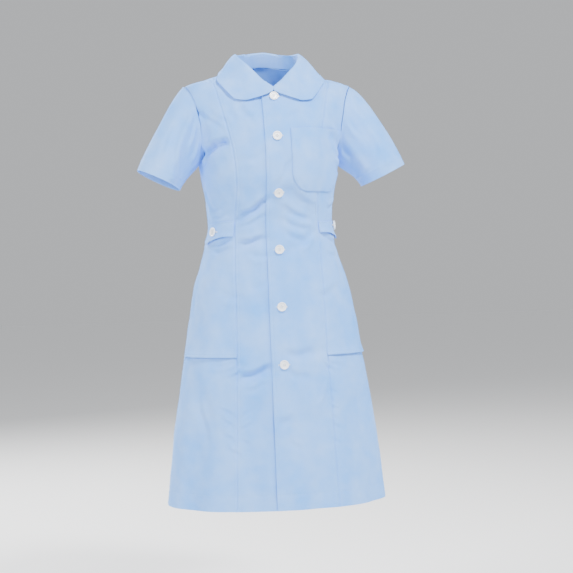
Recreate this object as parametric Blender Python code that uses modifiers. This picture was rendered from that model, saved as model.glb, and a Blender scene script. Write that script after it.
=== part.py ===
"""A short-sleeved uniform dress in its worn form, as separate cloth pieces.

The origin lies midway between the high points of the two shoulders, where the dress is carried.
+Z is up, the front faces -Y, and the wearer's left is +X. All sizes are metres.
Every piece of cloth is read from one form: at an angle round the body (0 at centre front, 90
degrees at the +X side seam, 180 at centre back) and at a height, the form gives a point and a
normal. A piece is a grid of such places, moved out by as many layers as it lies on.
"""
import math
from collections import namedtuple

import bpy
import numpy as np
from mathutils import Matrix, Vector
from mathutils.bvhtree import BVHTree

DRESS_NAME = "nurse_uniform_dress"

# Cloth
WALL = 0.0015
SEAM_GAP = 0.0003
LAYER = WALL + SEAM_GAP
LAY_ON_GAP = 0.0007
LAY_ON_REACH = 0.020
LEAST_GAP = 0.00052
CLEAR_SHARES = (0.0, 0.25, 0.5, 0.75, 1.0)
CLEAR_PASSES = 3

# Heights
ARMPIT_HEIGHT = -0.212
WAIST_HEIGHT = -0.3555
HIP_POCKET_HEIGHT = -0.643
HEM_HEIGHT = -0.969
NECK_FRONT_DROP = 0.061
NECK_BACK_RISE = 0.012
NECK_V_SHARE = 0.65
FORM_CENTRE_Y = 0.003

# Rings of the form, top to bottom: level sections read by a monotone cubic
SECTION_COLUMNS = ("height", "half_width", "front_depth", "back_depth", "squareness")
SECTIONS = (
    (0.020, 0.059, 0.050, 0.055, 2.0),
    (0.000, 0.076, 0.058, 0.068, 2.0),
    (-0.014, 0.100, 0.063, 0.074, 2.0),
    (-0.032, 0.150, 0.072, 0.083, 2.0),
    (-0.044, 0.188, 0.077, 0.088, 2.0),
    (-0.060, 0.1905, 0.084, 0.093, 2.05),
    (-0.100, 0.187, 0.100, 0.103, 2.1),
    (-0.140, 0.175, 0.115, 0.107, 2.15),
    (-0.180, 0.165, 0.126, 0.107, 2.2),
    (-0.212, 0.158, 0.131, 0.106, 2.2),
    (-0.250, 0.1515, 0.132, 0.100, 2.2),
    (-0.300, 0.143, 0.121, 0.091, 2.2),
    (-0.3555, 0.1384, 0.108, 0.086, 2.2),
    (-0.400, 0.146, 0.111, 0.094, 2.2),
    (-0.4815, 0.172, 0.119, 0.115, 2.2),
    (-0.5535, 0.187, 0.125, 0.130, 2.2),
    (-0.6435, 0.201, 0.135, 0.138, 2.2),
    (-0.7515, 0.219, 0.145, 0.148, 2.2),
    (-0.8595, 0.233, 0.156, 0.157, 2.2),
    (-1.000, 0.248, 0.168, 0.167, 2.2),
)

# Princess seam: how far it runs from the centre line, down to the hem
PRINCESS_COLUMNS = ("height", "from_centre")
PRINCESS_SEAM = (
    (-0.020, 0.131),
    (-0.035, 0.130),
    (-0.062, 0.124),
    (-0.100, 0.1155),
    (-0.140, 0.107),
    (-0.200, 0.0955),
    (-0.280, 0.090),
    (-0.3555, 0.094),
    (-0.643, 0.1005),
    (-0.775, 0.106),
    (-0.970, 0.113),
)

# Armhole: an egg seen from the side
ARMHOLE_TOP = -0.044
ARMHOLE_REACH = 0.052

# Front closure
OVERLAP = 0.027
UNDERLAP_RAMP = 0.016

# Rows and columns of the panel grids
YOKE_ROWS = 10
BODICE_ROWS = 7
HIP_ROWS = 11
SKIRT_ROWS = 11
NECK_COLUMNS = 3
SHOULDER_COLUMNS = 2
SIDE_COLUMNS = 6
BACK_NECK_COLUMNS = 6
CURVE_SAMPLES = 400
FORM_PASSES = 6
SLOPE_STEP = 1e-4
MITRE_LEAST = 0.35

# Hip pocket mouth: the upper side panel laps over the lower one
MOUTH_LAP = 0.026
MOUTH_RAMP = 0.014

# Large folds: soft troughs from one place on the form to another
Fold = namedtuple("Fold", "start_angle start_height end_angle end_height half_width depth")
FOLDS = (
    (-80.0, -0.200, -50.0, -0.178, 0.011, 0.0060),
    (80.0, -0.200, 56.0, -0.165, 0.012, 0.0035),
    (-10.0, -0.305, -43.0, -0.340, 0.012, 0.0030),
    (4.0, -0.284, 38.0, -0.336, 0.012, 0.0020),
    (-15.0, -0.391, -42.0, -0.401, 0.012, 0.0022),
    (12.0, -0.414, 36.0, -0.382, 0.013, 0.0020),
    (-14.0, -0.672, -37.0, -0.690, 0.014, 0.0025),
    (10.0, -0.640, 34.0, -0.632, 0.016, 0.0018),
    (-25.0, -0.760, -27.0, -0.985, 0.030, 0.0040),
    (22.0, -0.790, 24.0, -0.985, 0.030, 0.0035),
    (-62.0, -0.740, -64.0, -0.985, 0.034, 0.0050),
    (61.0, -0.760, 63.0, -0.985, 0.034, 0.0045),
    (112.0, -0.700, 114.0, -0.985, 0.036, 0.0050),
    (146.0, -0.720, 148.0, -0.985, 0.036, 0.0050),
    (-176.0, -0.690, -178.0, -0.985, 0.036, 0.0045),
    (-140.0, -0.730, -142.0, -0.985, 0.036, 0.0050),
    (-108.0, -0.710, -110.0, -0.985, 0.036, 0.0050),
    (100.0, -0.205, 128.0, -0.168, 0.014, 0.0040),
    (-100.0, -0.205, -128.0, -0.168, 0.014, 0.0040),
    (122.0, -0.330, 158.0, -0.352, 0.014, 0.0030),
    (-122.0, -0.335, -156.0, -0.350, 0.014, 0.0030),
    (128.0, -0.395, 165.0, -0.382, 0.014, 0.0026),
    (-130.0, -0.388, -163.0, -0.380, 0.014, 0.0026),
)

# Sleeve hem rings as the arms hang, how far each sleeve head is turned up, and how the cloth
# leaves the armhole at each angle round it
SleeveHem = namedtuple("SleeveHem", "from_centre forward height slope high wide head_turn")
SLEEVE_HEMS = {
    "left": (0.2585, 0.0120, -0.2452, 26.1, 0.0556, 0.0560, 13.0),
    "right": (0.2489, 0.0120, -0.2521, 25.8, 0.0515, 0.0530, -14.0),
}
SLEEVE_ROWS = 9
SLEEVE_FOLD_FADE = 0.15
WALL_LEAN_MOST = 1.0
SLEEVE_COLUMNS = ("angle", "out", "forward", "down", "start_reach", "end_reach")
SLEEVE_STARTS = (
    (0.0, 0.92, 0.00, 0.38, 0.032, 0.063),
    (45.0, 0.70, 0.10, 0.70, 0.038, 0.056),
    (90.0, 0.74, 0.10, 0.62, 0.045, 0.050),
    (135.0, 0.72, 0.06, 0.66, 0.030, 0.040),
    (180.0, 0.74, 0.00, 0.67, 0.022, 0.030),
    (225.0, 0.72, -0.06, 0.66, 0.030, 0.040),
    (270.0, 0.76, -0.10, 0.60, 0.045, 0.050),
    (315.0, 0.70, -0.10, 0.70, 0.038, 0.056),
)
SleeveFold = namedtuple("SleeveFold", "start_angle start_along end_angle end_along half_width depth")
SLEEVE_FOLDS = {
    "left": (
        (50.0, 0.10, 78.0, 0.85, 0.010, 0.0035),
        (118.0, 0.05, 130.0, 0.70, 0.009, 0.0030),
        (300.0, 0.15, 285.0, 0.80, 0.011, 0.0030),
    ),
    "right": (
        (66.0, 0.08, 112.0, 0.90, 0.010, 0.0050),
        (30.0, 0.12, 44.0, 0.60, 0.010, 0.0025),
        (296.0, 0.10, 280.0, 0.75, 0.011, 0.0030),
    ),
}

# Collar: how far the roll line stands over the neckline, and where the leaf's edge lies
COLLAR_WALL = 0.0016
COLLAR_SEAT = 0.0009
COLLAR_CLEARANCE = 0.0010
COLLAR_STAND_COLUMNS = ("angle", "rise", "lean")
COLLAR_STAND = (
    (0.0, 0.0040, 0.0020),
    (15.0, 0.0090, 0.0022),
    (40.0, 0.0190, 0.0028),
    (65.0, 0.0260, 0.0040),
    (90.0, 0.0290, 0.0055),
    (130.0, 0.0300, 0.0085),
    (180.0, 0.0300, 0.0100),
)
COLLAR_EDGE_COLUMNS = ("angle", "leaf_angle", "height")
COLLAR_EDGE = (
    (0.0, 0.9, -0.0665),
    (6.0, 5.5, -0.0700),
    (14.0, 12.5, -0.0745),
    (26.0, 23.0, -0.0815),
    (42.0, 34.0, -0.0870),
    (56.0, 44.0, -0.0840),
    (68.0, 52.0, -0.0700),
    (80.0, 61.0, -0.0480),
    (90.0, 75.0, -0.0235),
    (100.0, 90.0, -0.0160),
    (112.0, 107.0, -0.0205),
    (124.0, 121.0, -0.0280),
    (140.0, 139.0, -0.0310),
    (180.0, 180.0, -0.0310),
)
COLLAR_HALF_COLUMNS = 19
COLLAR_STAND_ROWS = 3
COLLAR_LEAF_ROWS = 7
COLLAR_CROWN = 0.0065
COLLAR_CROWN_SHARE = 0.35
COLLAR_CROWN_RISE = 0.35
COLLAR_COLUMN_EASE = 1.25
COLLAR_CARRIERS = ("front_left", "front_right", "side_front_left_upper", "side_front_right_upper", "back")

# Chest pocket
POCKET_INNER = 0.030
POCKET_OUTER_ANGLE = math.radians(71.0)
POCKET_TOP = -0.149
POCKET_BOTTOM = -0.286
POCKET_CORNER = 0.042
POCKET_CORNER_ROWS = 4
POCKET_COLUMNS = 11
POCKET_ROWS = 9

# Waist tabs
TAB_HEIGHT = -0.364
TAB_EDGE_COLUMNS = ("share", "low", "top")
TAB_EDGES = {
    "left": (
        (0.00, -0.0110, 0.0130),
        (0.35, -0.0130, 0.0145),
        (0.65, -0.0180, 0.0165),
        (1.00, -0.0280, 0.0180),
    ),
    "right": (
        (0.00, -0.0170, 0.0170),
        (0.35, -0.0190, 0.0165),
        (0.65, -0.0255, 0.0140),
        (1.00, -0.0370, 0.0120),
    ),
}
TAB_END_ANGLE = math.radians(86.0)
TAB_BUTTONS = {"left": (math.radians(76.5), -0.3575), "right": (math.radians(-72.0), -0.3695)}
TAB_BUTTON_RISE = 0.0004
TAB_COLUMNS = 9
TAB_ROWS = 4
TAB_ROUNDING = 0.6
TAB_END_SHARE = 0.16
TAB_FROM_SEAM = 0.002

# Buttons
BUTTON_HEIGHTS = (-0.0765, -0.166, -0.290, -0.412, -0.536, -0.6605)
BUTTON_RADIUS = 0.0100
BUTTON_THICKNESS = 0.0032
BUTTON_RIM = 0.0022
BUTTON_DISH = 0.0009
BUTTON_STEPS = 14
BUTTON_SEAT = 0.0006

FINISHES = {
    "cloth": ((0.42, 0.58, 0.83, 1.0), 0.85, 0.0),
    "button": ((0.88, 0.89, 0.90, 1.0), 0.35, 0.0),
}


def monotone_slopes(keys, values):
    """Slopes of a cubic that never overshoots its points."""
    steps = np.diff(keys)
    rises = np.diff(values) / steps
    slopes = np.zeros_like(values)
    before = 2 * steps[1:] + steps[:-1]
    after = steps[1:] + 2 * steps[:-1]
    for place in range(1, len(keys) - 1):
        low, high = rises[place - 1], rises[place]
        if low * high > 0:
            weight = before[place - 1] / low + after[place - 1] / high
            slopes[place] = (before[place - 1] + after[place - 1]) / weight
    slopes[0] = rises[0]
    slopes[-1] = rises[-1]
    return slopes


class Table:
    """Named columns over the first one, read anywhere between the rows."""

    def __init__(self, columns, rows):
        ordered = sorted(rows)
        self.keys = np.array([row[0] for row in ordered], dtype=float)
        self.values = {}
        self.slopes = {}
        for place, name in enumerate(columns[1:], start=1):
            self.values[name] = np.array([row[place] for row in ordered], dtype=float)
            self.slopes[name] = monotone_slopes(self.keys, self.values[name])

    def read(self, name, at):
        """Value of the named column at one or many keys."""
        keys = self.keys
        at = np.clip(np.asarray(at, dtype=float), keys[0], keys[-1])
        low = np.clip(np.searchsorted(keys, at) - 1, 0, len(keys) - 2)
        step = keys[low + 1] - keys[low]
        t = (at - keys[low]) / step
        values = self.values[name]
        slopes = self.slopes[name]
        start = (1 + 2 * t) * (1 - t) ** 2 * values[low] + t * (1 - t) ** 2 * step * slopes[low]
        end = t * t * (3 - 2 * t) * values[low + 1] + t * t * (t - 1) * step * slopes[low + 1]
        return start + end


SECTION = Table(SECTION_COLUMNS, SECTIONS)
PRINCESS = Table(PRINCESS_COLUMNS, PRINCESS_SEAM)
SLEEVE_START = Table(
    SLEEVE_COLUMNS,
    SLEEVE_STARTS + tuple((row[0] + 360.0,) + row[1:] for row in SLEEVE_STARTS[:2])
    + tuple((row[0] - 360.0,) + row[1:] for row in SLEEVE_STARTS[-2:]),
)
STAND = Table(COLLAR_STAND_COLUMNS, COLLAR_STAND)
LEAF_EDGE = Table(COLLAR_EDGE_COLUMNS, COLLAR_EDGE)


def ring_radius(angle, height):
    """Radius of the form's level ring: a superellipse in front and another behind."""
    half_width = SECTION.read("half_width", height)
    front = SECTION.read("front_depth", height)
    back = SECTION.read("back_depth", height)
    depth = np.where(np.cos(angle) > 0, front, back)
    power = SECTION.read("squareness", height)
    across = np.abs(np.sin(angle) / half_width) ** power
    along = np.abs(np.cos(angle) / depth) ** power
    return (across + along) ** (-1.0 / power)


def form_point(angle, height):
    """Point of the smooth form at angles and heights."""
    radius = ring_radius(angle, height)
    x = radius * np.sin(angle)
    y = FORM_CENTRE_Y - radius * np.cos(angle)
    return np.stack((x, y, height + 0 * x), axis=-1)


def form_slopes(angle, height):
    """How the form's point moves with the angle and with the height."""
    by_angle = form_point(angle + SLOPE_STEP, height) - form_point(angle - SLOPE_STEP, height)
    by_height = form_point(angle, height + SLOPE_STEP) - form_point(angle, height - SLOPE_STEP)
    return by_angle / (2 * SLOPE_STEP), by_height / (2 * SLOPE_STEP)


def radius_slopes(angle, height):
    """How the level ring's radius changes with the angle and with the height."""
    by_angle = ring_radius(angle + SLOPE_STEP, height) - ring_radius(angle - SLOPE_STEP, height)
    by_height = ring_radius(angle, height + SLOPE_STEP) - ring_radius(angle, height - SLOPE_STEP)
    return by_angle / (2 * SLOPE_STEP), by_height / (2 * SLOPE_STEP)


def unit(vectors):
    """Vectors scaled to length one."""
    return vectors / np.linalg.norm(vectors, axis=-1, keepdims=True)


def form_normal(angle, height):
    """Outward normal of the smooth form."""
    by_angle, by_height = form_slopes(angle, height)
    return unit(np.cross(by_angle, by_height))


def trough(along, across, rows):
    """Depth of soft troughs, in a plane of two lengths: rows of two ends, half width and depth."""
    depth = np.zeros(np.broadcast(along, across).shape)
    for start, end, half_width, deepest in rows:
        run = np.subtract(end, start)
        length = float(run @ run)
        t = ((along - start[0]) * run[0] + (across - start[1]) * run[1]) / length
        t = np.clip(t, 0.0, 1.0)
        gap = (along - start[0] - t * run[0]) ** 2 + (across - start[1] - t * run[1]) ** 2
        depth += deepest * np.exp(-gap / half_width ** 2)
    return depth


def fold_depth(angle, height):
    """How far the folds push the cloth in at each place of the form."""
    depth = np.zeros(np.broadcast(angle, height).shape)
    for fold in map(Fold._make, FOLDS):
        middle = math.radians(0.5 * (fold.start_angle + fold.end_angle))
        middle_height = 0.5 * (fold.start_height + fold.end_height)
        radius = float(ring_radius(np.array(middle), np.array(middle_height)))
        turned = (angle - middle + math.pi) % (2 * math.pi) - math.pi
        half_turn = math.radians(0.5 * (fold.end_angle - fold.start_angle))
        start = (-half_turn * radius, fold.start_height)
        end = (half_turn * radius, fold.end_height)
        depth += trough(turned * radius, height, ((start, end, fold.half_width, fold.depth),))
    return depth


def cloth_point(angle, height, out=0.0):
    """Point of the draped cloth, moved out along the form's normal."""
    moved = np.asarray(out - fold_depth(angle, height))
    return form_point(angle, height) + form_normal(angle, height) * moved[..., None]


def angle_at(from_centre, height):
    """Angle on the front of the form at a distance from the centre line."""
    half_width = SECTION.read("half_width", height)
    power = SECTION.read("squareness", height)
    share = np.clip(np.abs(from_centre) / half_width, 0.0, 1.0)
    forward = SECTION.read("front_depth", height) * (1 - share ** power) ** (1 / power)
    return np.arctan2(from_centre, forward)


def height_of_shoulder(from_centre):
    """Height of the shoulder ridge where it lies so far from the centre line."""
    heights = np.linspace(ARMHOLE_TOP, 0.0, CURVE_SAMPLES)
    widths = SECTION.read("half_width", heights)
    return float(np.interp(-from_centre, -widths, heights))


def spaced(curve, count):
    """Angle and height places at even lengths along a finely sampled curve."""
    points = form_point(curve[:, 0], curve[:, 1])
    lengths = np.concatenate(([0.0], np.cumsum(np.linalg.norm(np.diff(points, axis=0), axis=1))))
    wanted = np.linspace(0.0, lengths[-1], count + 1)
    places = np.interp(wanted, lengths, np.arange(len(curve)))
    steps = np.arange(len(curve))
    return np.stack((np.interp(places, steps, curve[:, 0]), np.interp(places, steps, curve[:, 1])), axis=1)


def neckline_height(angle):
    """Height of the neckline round the neck."""
    dip = NECK_V_SHARE * (1 - np.abs(np.sin(angle))) + (1 - NECK_V_SHARE) * np.cos(angle) ** 2
    rise = NECK_BACK_RISE * np.cos(angle) ** 2
    return np.where(np.cos(angle) > 0, -NECK_FRONT_DROP * dip, rise)


def neckline(start, end, count):
    """Places along the neckline between two angles."""
    angles = np.linspace(start, end, CURVE_SAMPLES)
    return spaced(np.stack((angles, neckline_height(angles)), axis=1), count)


def shoulder(start, end, side_angle, count):
    """Places along a shoulder seam, from one distance from the centre line to another."""
    heights = np.linspace(height_of_shoulder(start), height_of_shoulder(end), CURVE_SAMPLES)
    return spaced(np.stack((np.full_like(heights, side_angle), heights), axis=1), count)


def princess_yoke():
    """Places along the princess seam from the armpit's height up to the shoulder."""
    top = height_of_shoulder(PRINCESS_SEAM[0][1])
    ease = np.sin(np.linspace(0.0, math.pi / 2, CURVE_SAMPLES))
    heights = ARMPIT_HEIGHT + (top - ARMPIT_HEIGHT) * ease
    angles = angle_at(PRINCESS.read("from_centre", heights), heights)
    angles[-1] = math.pi / 2
    return spaced(np.stack((angles, heights), axis=1), YOKE_ROWS)


def armhole(back):
    """Places along half of the +X armhole, from the armpit up to the shoulder's tip."""
    turn = np.linspace(math.pi, 0.0, CURVE_SAMPLES)
    middle = 0.5 * (ARMHOLE_TOP + ARMPIT_HEIGHT)
    heights = middle + (ARMHOLE_TOP - middle) * np.cos(turn)
    reach = ARMHOLE_REACH * np.sin(turn)
    depth = SECTION.read("back_depth" if back else "front_depth", heights)
    power = SECTION.read("squareness", heights)
    out = SECTION.read("half_width", heights) * (1 - (reach / depth) ** power) ** (1 / power)
    angles = np.arctan2(out, -reach if back else reach)
    return spaced(np.stack((angles, heights), axis=1), YOKE_ROWS)


def onto_form(points, clearance=0.0, pull=True):
    """Points moved to a clearance above the form, or only out to it where pull is off."""
    moved = points.copy()
    for _ in range(FORM_PASSES):
        x = moved[..., 0]
        y = moved[..., 1] - FORM_CENTRE_Y
        height = moved[..., 2]
        angle = np.arctan2(x, -y)
        radius = ring_radius(angle, height)
        by_angle, by_height = radius_slopes(angle, height)
        outward = np.stack((np.sin(angle), -np.cos(angle), 0 * angle), axis=-1)
        around = np.stack((np.cos(angle), np.sin(angle), 0 * angle), axis=-1)
        slope = outward - around * (by_angle / radius)[..., None]
        slope[..., 2] -= by_height
        steepness = np.linalg.norm(slope, axis=-1)
        lift = clearance - (np.hypot(x, y) - radius) / steepness
        if not pull:
            lift = np.maximum(lift, 0.0)
        moved = moved + slope / steepness[..., None] * lift[..., None]
    return moved


def blend_edges(bottom, top, left, right):
    """Surface between four edges that share their corners."""
    across = np.linspace(0.0, 1.0, len(bottom))[None, :, None]
    up = np.linspace(0.0, 1.0, len(left))[:, None, None]
    between = (1 - up) * bottom[None] + up * top[None] + (1 - across) * left[:, None] + across * right[:, None]
    corners = (1 - up) * ((1 - across) * bottom[0] + across * bottom[-1])
    corners = corners + up * ((1 - across) * top[0] + across * top[-1])
    return between - corners


def patch(bottom, top, left, right):
    """Grid of places between four edges of places, blended in space and laid on the form."""
    edges = [form_point(edge[:, 0], edge[:, 1]) for edge in (bottom, top, left, right)]
    points = onto_form(blend_edges(*edges))
    angles = np.arctan2(points[..., 0], FORM_CENTRE_Y - points[..., 1]) % (2 * math.pi)
    places = np.stack((angles, points[..., 2]), axis=-1)
    places[0] = bottom
    places[-1] = top
    places[:, 0] = left
    places[:, -1] = right
    return places


def level_row(start, end, count, height):
    """Even places between two angles at one height."""
    angles = np.linspace(start, end, count + 1)
    return np.stack((angles, np.full_like(angles, height)), axis=1)


def heights_between(low, high, rows):
    """Even heights from low to high."""
    return list(np.linspace(low, high, rows + 1))


def body_heights():
    """Heights of the level rows from the hem up to the armpit, without repeats."""
    skirt = heights_between(HEM_HEIGHT, HIP_POCKET_HEIGHT, SKIRT_ROWS)
    hip = heights_between(HIP_POCKET_HEIGHT, WAIST_HEIGHT, HIP_ROWS)
    bodice = heights_between(WAIST_HEIGHT, ARMPIT_HEIGHT, BODICE_ROWS)
    return skirt + hip[1:] + bodice[1:]


def princess_angle(height):
    """Angle of the +X princess seam at a height."""
    return float(angle_at(PRINCESS.read("from_centre", height), np.array(height)))


def edge_angle(from_centre, height):
    """Angle of a line that runs at a fixed distance from the centre line."""
    return float(angle_at(np.array(from_centre), np.array(height)))


def centre_front_grid():
    """Places of the +X centre front, from the overlap's edge to the princess seam."""
    columns = NECK_COLUMNS + SHOULDER_COLUMNS
    rows = [
        level_row(edge_angle(OVERLAP, height), princess_angle(height), columns, height)
        for height in body_heights()
    ]
    neck_start = neck_angle_at(OVERLAP)
    top = np.concatenate((
        neckline(neck_start, math.pi / 2, NECK_COLUMNS),
        shoulder(SECTION.read("half_width", 0.0), PRINCESS_SEAM[0][1], math.pi / 2, SHOULDER_COLUMNS)[1:],
    ))
    heights = np.linspace(ARMPIT_HEIGHT, top[0, 1], YOKE_ROWS + 1)
    left = np.stack((angle_at(OVERLAP, heights), heights), axis=1)
    left[-1] = top[0]
    yoke = patch(rows[-1], top, left, princess_yoke())
    main = np.concatenate((np.array(rows[:-1]), yoke))
    return np.concatenate((overlap_columns(main[:, 0, 1]), main), axis=1)


def neck_angle_at(from_centre):
    """Angle at which the neckline is so far from the centre line."""
    angles = np.linspace(0.0, math.pi / 2, CURVE_SAMPLES)
    reach = form_point(angles, neckline_height(angles))[:, 0]
    return float(np.interp(from_centre, reach, angles))


def overlap_columns(heights):
    """Two columns of places that carry a front past the centre line, edge first."""
    top = heights[-1]
    centre_top = float(neckline_height(np.array(0.0)))
    lift = np.clip((heights - ARMPIT_HEIGHT) / (top - ARMPIT_HEIGHT), 0.0, 1.0)
    centre_heights = heights + lift * (centre_top - top)
    edge = np.stack((-angle_at(OVERLAP, heights), heights), axis=1)
    edge[-1, 0] = -neck_angle_at(OVERLAP)
    centre = np.stack((np.zeros_like(heights), centre_heights), axis=1)
    return np.stack((edge, centre), axis=1)


def side_front_grid():
    """Places of the +X side front, from the princess seam to the side seam and the armhole."""
    rows = [
        level_row(princess_angle(height), math.pi / 2, SIDE_COLUMNS, height)
        for height in body_heights()
    ]
    tip = float(SECTION.read("half_width", ARMHOLE_TOP))
    top = shoulder(PRINCESS_SEAM[0][1], tip, math.pi / 2, SIDE_COLUMNS)
    yoke = patch(rows[-1], top, princess_yoke(), armhole(back=False))
    return np.concatenate((np.array(rows[:-1]), yoke))


def back_grid():
    """Places of the back, from the +X side seam round to the -X one."""
    neck_point = float(SECTION.read("half_width", 0.0))
    tip = float(SECTION.read("half_width", ARMHOLE_TOP))
    outer = shoulder(tip, PRINCESS_SEAM[0][1], math.pi / 2, SIDE_COLUMNS)
    inner = shoulder(PRINCESS_SEAM[0][1], neck_point, math.pi / 2, SHOULDER_COLUMNS)
    seam = np.concatenate((outer, inner[1:]))
    neck = neckline(math.pi / 2, 3 * math.pi / 2, BACK_NECK_COLUMNS)
    top = np.concatenate((seam, neck[1:-1], mirror_places(seam)))
    columns = len(top) - 1
    rows = [level_row(math.pi / 2, 3 * math.pi / 2, columns, height) for height in body_heights()]
    left = armhole(back=True)
    right = np.stack((2 * math.pi - left[:, 0], left[:, 1]), axis=1)
    return np.concatenate((np.array(rows[:-1]), patch(rows[-1], top, left, right)))


def mirror_places(places):
    """Places turned over to the other side of the back, in reverse order."""
    turned = np.stack((2 * math.pi - places[:, 0], places[:, 1]), axis=1)
    return turned[::-1]


def mirror_grid(grid):
    """Grid of places on the other side of the front, columns still turning towards +X."""
    turned = grid[:, ::-1].copy()
    turned[..., 0] = -turned[..., 0]
    return turned


def outline_indices(rows, columns):
    """Grid places once round the outline, anticlockwise as seen from outside."""
    bottom = [(0, column) for column in range(columns)]
    right = [(row, columns - 1) for row in range(1, rows)]
    top = [(rows - 1, column) for column in range(columns - 2, -1, -1)]
    left = [(row, 0) for row in range(rows - 2, 0, -1)]
    return bottom + right + top + left


def inset_outline(grid, amount=SEAM_GAP / 2):
    """Grid whose outline is drawn in by an amount, mitred at its corners."""
    rows, columns = grid.shape[:2]
    loop = outline_indices(rows, columns)
    places = np.array([grid[index] for index in loop])
    points = form_point(places[:, 0], places[:, 1])
    normals = form_normal(places[:, 0], places[:, 1])
    by_angle, by_height = form_slopes(places[:, 0], places[:, 1])
    ahead = unit(np.roll(points, -1, axis=0) - points)
    inward_ahead = np.cross(normals, ahead)
    inward_behind = np.cross(normals, np.roll(ahead, 1, axis=0))
    inset = grid.copy()
    for place, index in enumerate(loop):
        shift = mitre(inward_behind[place], inward_ahead[place], amount)
        basis = np.stack((by_angle[place], by_height[place]), axis=1)
        moved = np.linalg.lstsq(basis, shift, rcond=None)[0]
        inset[index] = grid[index] + moved
    return inset


def mitre(first, second, amount):
    """Shift that lies an amount inside of two edges with these inward directions."""
    first = unit(first)
    second = unit(second)
    middle = unit(first + second)
    return middle * amount / max(float(middle @ first), MITRE_LEAST)


def finish_material(finish):
    """Principled material of the named finish."""
    material = bpy.data.materials.get(finish)
    if material is None:
        colour, roughness, metallic = FINISHES[finish]
        material = bpy.data.materials.new(finish)
        material.use_nodes = True
        shader = material.node_tree.nodes["Principled BSDF"]
        shader.inputs["Base Color"].default_value = colour
        shader.inputs["Roughness"].default_value = roughness
        shader.inputs["Metallic"].default_value = metallic
        material.diffuse_color = colour
    return material


def walls_of(names):
    """Search trees of the named pieces, as they are built so far."""
    trees = []
    for name in names:
        mesh = bpy.data.objects[name].data
        vertices = [vertex.co for vertex in mesh.vertices]
        trees.append(BVHTree.FromPolygons(vertices, [tuple(face.vertices) for face in mesh.polygons]))
    return trees


def settle(point, normal, trees, gap):
    """Point moved along a normal until it lies a gap above the outermost of some walls."""
    start = Vector(point) + Vector(normal) * LAY_ON_REACH
    nearest = None
    for tree in trees:
        hit = tree.ray_cast(start, -Vector(normal), 2 * LAY_ON_REACH)
        if hit[0] is not None and (nearest is None or hit[3] < nearest):
            nearest = hit[3]
    if nearest is None:
        return Vector(point) + Vector(normal) * gap
    return start - Vector(normal) * (nearest - gap)


def settle_grid(grid, trees, gap):
    """Points of a grid of places, each settled on the walls below it."""
    points = cloth_point(grid[..., 0], grid[..., 1])
    normals = form_normal(grid[..., 0], grid[..., 1])
    settled = np.zeros_like(points)
    for index in np.ndindex(points.shape[:2]):
        settled[index] = settle(points[index], normals[index], trees, gap)
    return lift_clear(settled, normals, trees)


def lift_clear(points, normals, trees):
    """Points raised until no cell between them is nearer than the least gap to the walls."""
    shares = [(a, b) for a in CLEAR_SHARES for b in CLEAR_SHARES]
    lifted = points.copy()
    for _ in range(CLEAR_PASSES):
        lift = np.zeros(points.shape[:2])
        for row, column in np.ndindex(points.shape[0] - 1, points.shape[1] - 1):
            cell = (slice(row, row + 2), slice(column, column + 2))
            need = max(wall_above(lifted[cell], normals[cell], a, b, trees) for a, b in shares)
            lift[cell] = np.maximum(lift[cell], need + LEAST_GAP)
        lifted = lifted + normals * lift[..., None]
    return lifted


def wall_above(points, normals, across, up, trees):
    """How far the walls stand above a place inside one cell, less than 0 where they lie below."""
    weights = np.outer((1 - up, up), (1 - across, across))[..., None]
    point = Vector((points * weights).sum(axis=(0, 1)))
    normal = Vector((normals * weights).sum(axis=(0, 1))).normalized()
    start = point + normal * LAY_ON_REACH
    hits = [tree.ray_cast(start, -normal, LAY_ON_REACH + LAY_ON_GAP)[3] for tree in trees]
    reached = [LAY_ON_REACH - distance for distance in hits if distance is not None]
    return max(reached, default=-LEAST_GAP)


def add_object(name, vertices, faces, finish):
    """New object of the dress from vertices and faces."""
    mesh = bpy.data.meshes.new(name)
    mesh.from_pydata([tuple(map(float, vertex)) for vertex in vertices], [], faces)
    mesh.materials.append(finish_material(finish))
    mesh.update()
    piece = bpy.data.objects.new(name, mesh)
    bpy.data.collections[DRESS_NAME].objects.link(piece)
    return piece


def grid_faces(rows, columns, start, flipped):
    """Triangles over a grid of vertices, all split along the same diagonal."""
    faces = []
    for row in range(rows - 1):
        for column in range(columns - 1):
            low = start + row * columns + column
            high = low + columns
            corners = (low, low + 1, high + 1, high)
            for triangle in (corners[:3], (corners[0], corners[2], corners[3])):
                faces.append(triangle[::-1] if flipped else triangle)
    return faces


def rim_faces(outer, inner):
    """Triangles that join two loops of vertices of one length."""
    faces = []
    for place, first in enumerate(outer):
        ahead = (place + 1) % len(outer)
        second = outer[ahead]
        faces.append((second, first, inner[place]))
        faces.append((second, inner[place], inner[ahead]))
    return faces


def cloth_wall(name, outer, inner, finish="cloth"):
    """Closed wall lofted between an outer and an inner grid of points.

    Both faces are lofted, and the rim follows the form's normals, so that the rims of two
    neighbours stay parallel along their seam.
    """
    rows, columns = outer.shape[:2]
    count = rows * columns
    faces = grid_faces(rows, columns, 0, False) + grid_faces(rows, columns, count, True)
    loop = [row * columns + column for row, column in outline_indices(rows, columns)]
    faces += rim_faces(loop, [index + count for index in loop])
    vertices = np.concatenate((outer.reshape(-1, 3), inner.reshape(-1, 3)))
    return add_object(name, vertices, faces, finish)


def panel(name, grid, out=0.0):
    """Panel of cloth on the form, its outer face moved out by one value or a grid of values."""
    places = inset_outline(grid)
    angle = places[..., 0]
    height = places[..., 1]
    outer = cloth_point(angle, height, out)
    inner = cloth_point(angle, height, np.asarray(out) - WALL)
    return cloth_wall(name, outer, inner)


def ramp(value, start, end):
    """0 before start and 1 after end, smooth between."""
    t = np.clip((value - start) / (end - start), 0.0, 1.0)
    return t * t * (3 - 2 * t)


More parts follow.
